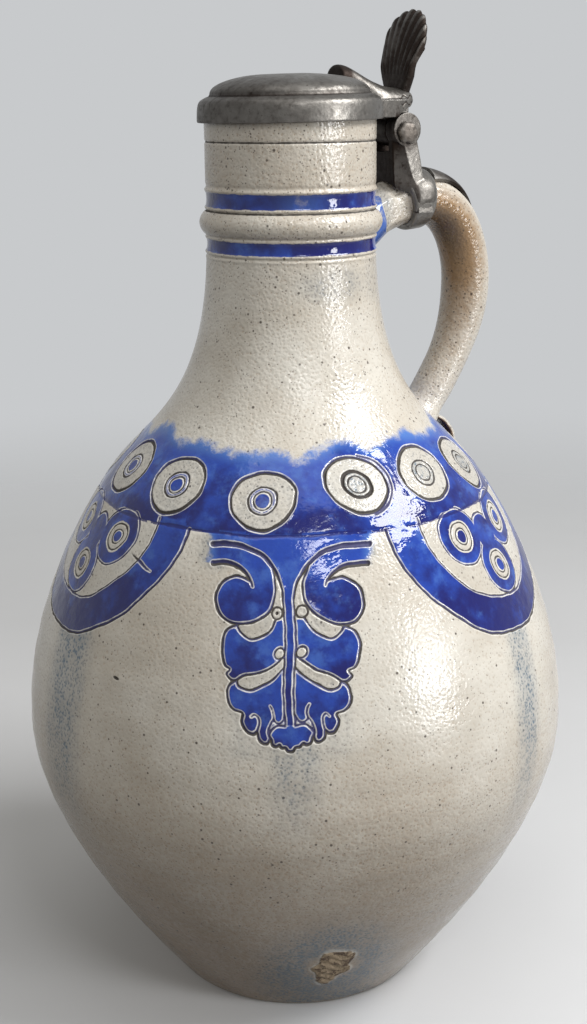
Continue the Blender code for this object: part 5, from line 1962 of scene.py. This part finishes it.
@dataclass
class Studio:
    """A pale floor, soft light and the camera of the photograph."""

    distance: float = 620.0
    camera_height: float = 388.4
    pitch: float = 15.897
    roll: float = 0.494
    bearing: float = 30.5
    lens: float = 50.977
    sensor: float = 36.0
    clip_start: float = 0.01
    floor_size: float = 2500.0
    high_light: Colour = srgb(150, 147, 140)
    low_light: Colour = srgb(62, 56, 48)
    lamps: tuple = (
        Lamp("window", 74.0, 45.0, 1.25, 0.6, 0.45, 16.8),
        Lamp("side_window", 17.0, 43.0, 1.25, 0.3, 0.16, 2.4),
        Lamp("low_window", 58.0, 8.0, 1.3, 0.25, 0.5, 7.2),
        Lamp("fill", -35.0, 25.0, 1.7, 1.3, 1.3, 6.5, False),
        Lamp("overhead", 0.0, 82.0, 1.6, 1.2, 1.2, 5.0),
    )
    lamp_aim: float = 0.22
    floor_sides: int = 96

    def build(self, effects: Effects) -> None:
        """Sets the floor, the world, the lamps and the camera."""
        scene = bpy.context.scene
        scene.view_settings.view_transform = "Standard"
        turn = turns(self.floor_sides)
        edge = np.stack([np.cos(turn), np.sin(turn), np.zeros(turn.shape)], 1) * self.floor_size
        face = tuple(range(self.floor_sides))
        floor = bpy.data.objects.new("studio_floor", mesh_from("studio_floor", edge, [face]))
        floor.data.materials.append(FloorPaint().material(effects))
        scene.collection.objects.link(floor)
        floor.visible_diffuse = False
        self._world(scene)
        for lamp in self.lamps:
            self._hang(lamp)
        self._camera(scene)

    def _world(self, scene: bpy.types.Scene) -> None:
        """Even light from above, little from below, and a pale backdrop for the camera and for mirrors."""
        world = bpy.data.worlds.new("studio")
        world.use_nodes = True
        graph = Graph(world.node_tree)
        ground = world.node_tree.nodes["Background"]
        rays = graph.add("ShaderNodeLightPath").outputs
        seen = graph.math("MAXIMUM", rays["Is Camera Ray"], rays["Is Glossy Ray"])
        seen = graph.math("MAXIMUM", seen, rays["Is Transmission Ray"])
        way = graph.add("ShaderNodeTexCoord").outputs["Generated"]
        rise = graph.add("ShaderNodeSeparateXYZ", {0: way}).outputs["Z"]
        light = graph.blend(graph.step(rise, -0.2, 0.2), self.low_light, self.high_light)
        graph.link(graph.blend(seen, light, FloorPaint().backdrop), ground, "Color")
        scene.world = world

    def _direction(self, side: float, rise: float) -> Vector:
        """A direction from the jug, in degrees right of the camera and up."""
        flat = math.cos(math.radians(rise))
        toward = math.radians(self.bearing)
        right = Vector((math.cos(toward), -math.sin(toward), 0))
        near = Vector((-math.sin(toward), -math.cos(toward), 0))
        turn = math.radians(side)
        return (right * math.sin(turn) + near * math.cos(turn)) * flat + Vector((0, 0, math.sin(math.radians(rise))))

    def _hang(self, lamp: Lamp) -> None:
        """Hangs one of the lamps and turns it to the jug."""
        light = bpy.data.lights.new(lamp.name, "AREA")
        light.shape, light.size, light.size_y, light.energy = "RECTANGLE", lamp.width, lamp.height, lamp.power
        holder = bpy.data.objects.new(lamp.name, light)
        way = self._direction(lamp.side, lamp.rise)
        holder.location = way * lamp.away + Vector((0, 0, self.lamp_aim))
        holder.rotation_euler = (-way).to_track_quat("-Z", "Y").to_euler()
        holder.visible_glossy = lamp.mirrored
        bpy.context.scene.collection.objects.link(holder)

    def _camera(self, scene: bpy.types.Scene) -> None:
        """The camera, with the slight roll of the photograph."""
        turn, tilt, lean = (math.radians(a) for a in (self.bearing, self.pitch, self.roll))
        forward = Vector((math.sin(turn) * math.cos(tilt), math.cos(turn) * math.cos(tilt), -math.sin(tilt)))
        right = Vector((math.cos(turn), -math.sin(turn), 0))
        up = right.cross(forward)
        right, up = right * math.cos(lean) - up * math.sin(lean), up * math.cos(lean) + right * math.sin(lean)
        lens = bpy.data.cameras.new("camera")
        lens.lens, lens.sensor_width, lens.clip_start = self.lens, self.sensor, self.clip_start
        camera = bpy.data.objects.new("camera", lens)
        place = Vector((-math.sin(turn), -math.cos(turn), 0)) * self.distance + Vector((0, 0, self.camera_height))
        camera.matrix_world = Matrix.Translation(place * MM) @ Matrix((right, up, -forward)).transposed().to_4x4()
        scene.collection.objects.link(camera)
        scene.camera = camera


def seat(piece: Piece, node: str, rides: Rides, slot: Slot) -> None:
    """Links a piece, sets it on its body and lets it stand for its node."""
    bpy.context.scene.collection.objects.link(piece)
    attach(piece, rides.value)
    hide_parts(node)
    LOG.info("%s: %d points, %d faces", piece.name, len(piece.data.vertices), len(piece.data.polygons))


def main() -> None:
    """Builds the jug piece by piece, then the studio round it."""
    logging.basicConfig(level=logging.INFO, format="%(name)s: %(message)s")
    effects = Effects()
    glaze = SaltGlaze().material(effects)
    pewter, iron = PEWTER.material(effects), IRON.material(effects)
    seat(ThrownBody().build(glaze), "jug_body", Rides.JUG, Slot.STONEWARE)
    seat(PulledHandle().build(glaze), "jug_handle", Rides.JUG, Slot.STONEWARE)
    mount = LidMount()
    seat(mount.ring(pewter), "handle_ring", Rides.JUG, Slot.PEWTER)
    seat(mount.spur(pewter), "handle_spur", Rides.JUG, Slot.PEWTER)
    seat(mount.post(pewter), "hinge_post", Rides.JUG, Slot.PEWTER)
    seat(mount.pin(iron), "hinge_pin", Rides.JUG, Slot.IRON)
    seat(mount.burr(iron), "pin_burr", Rides.JUG, Slot.IRON)
    lid = Lid()
    seat(lid.cover(pewter), "lid_cover", Rides.LID, Slot.PEWTER)
    seat(lid.tongue(pewter), "lid_tongue", Rides.LID, Slot.PEWTER)
    seat(lid.thumbpiece(pewter), "thumbpiece", Rides.LID, Slot.PEWTER)
    Studio().build(effects)


if __name__ == "__main__":
    main()
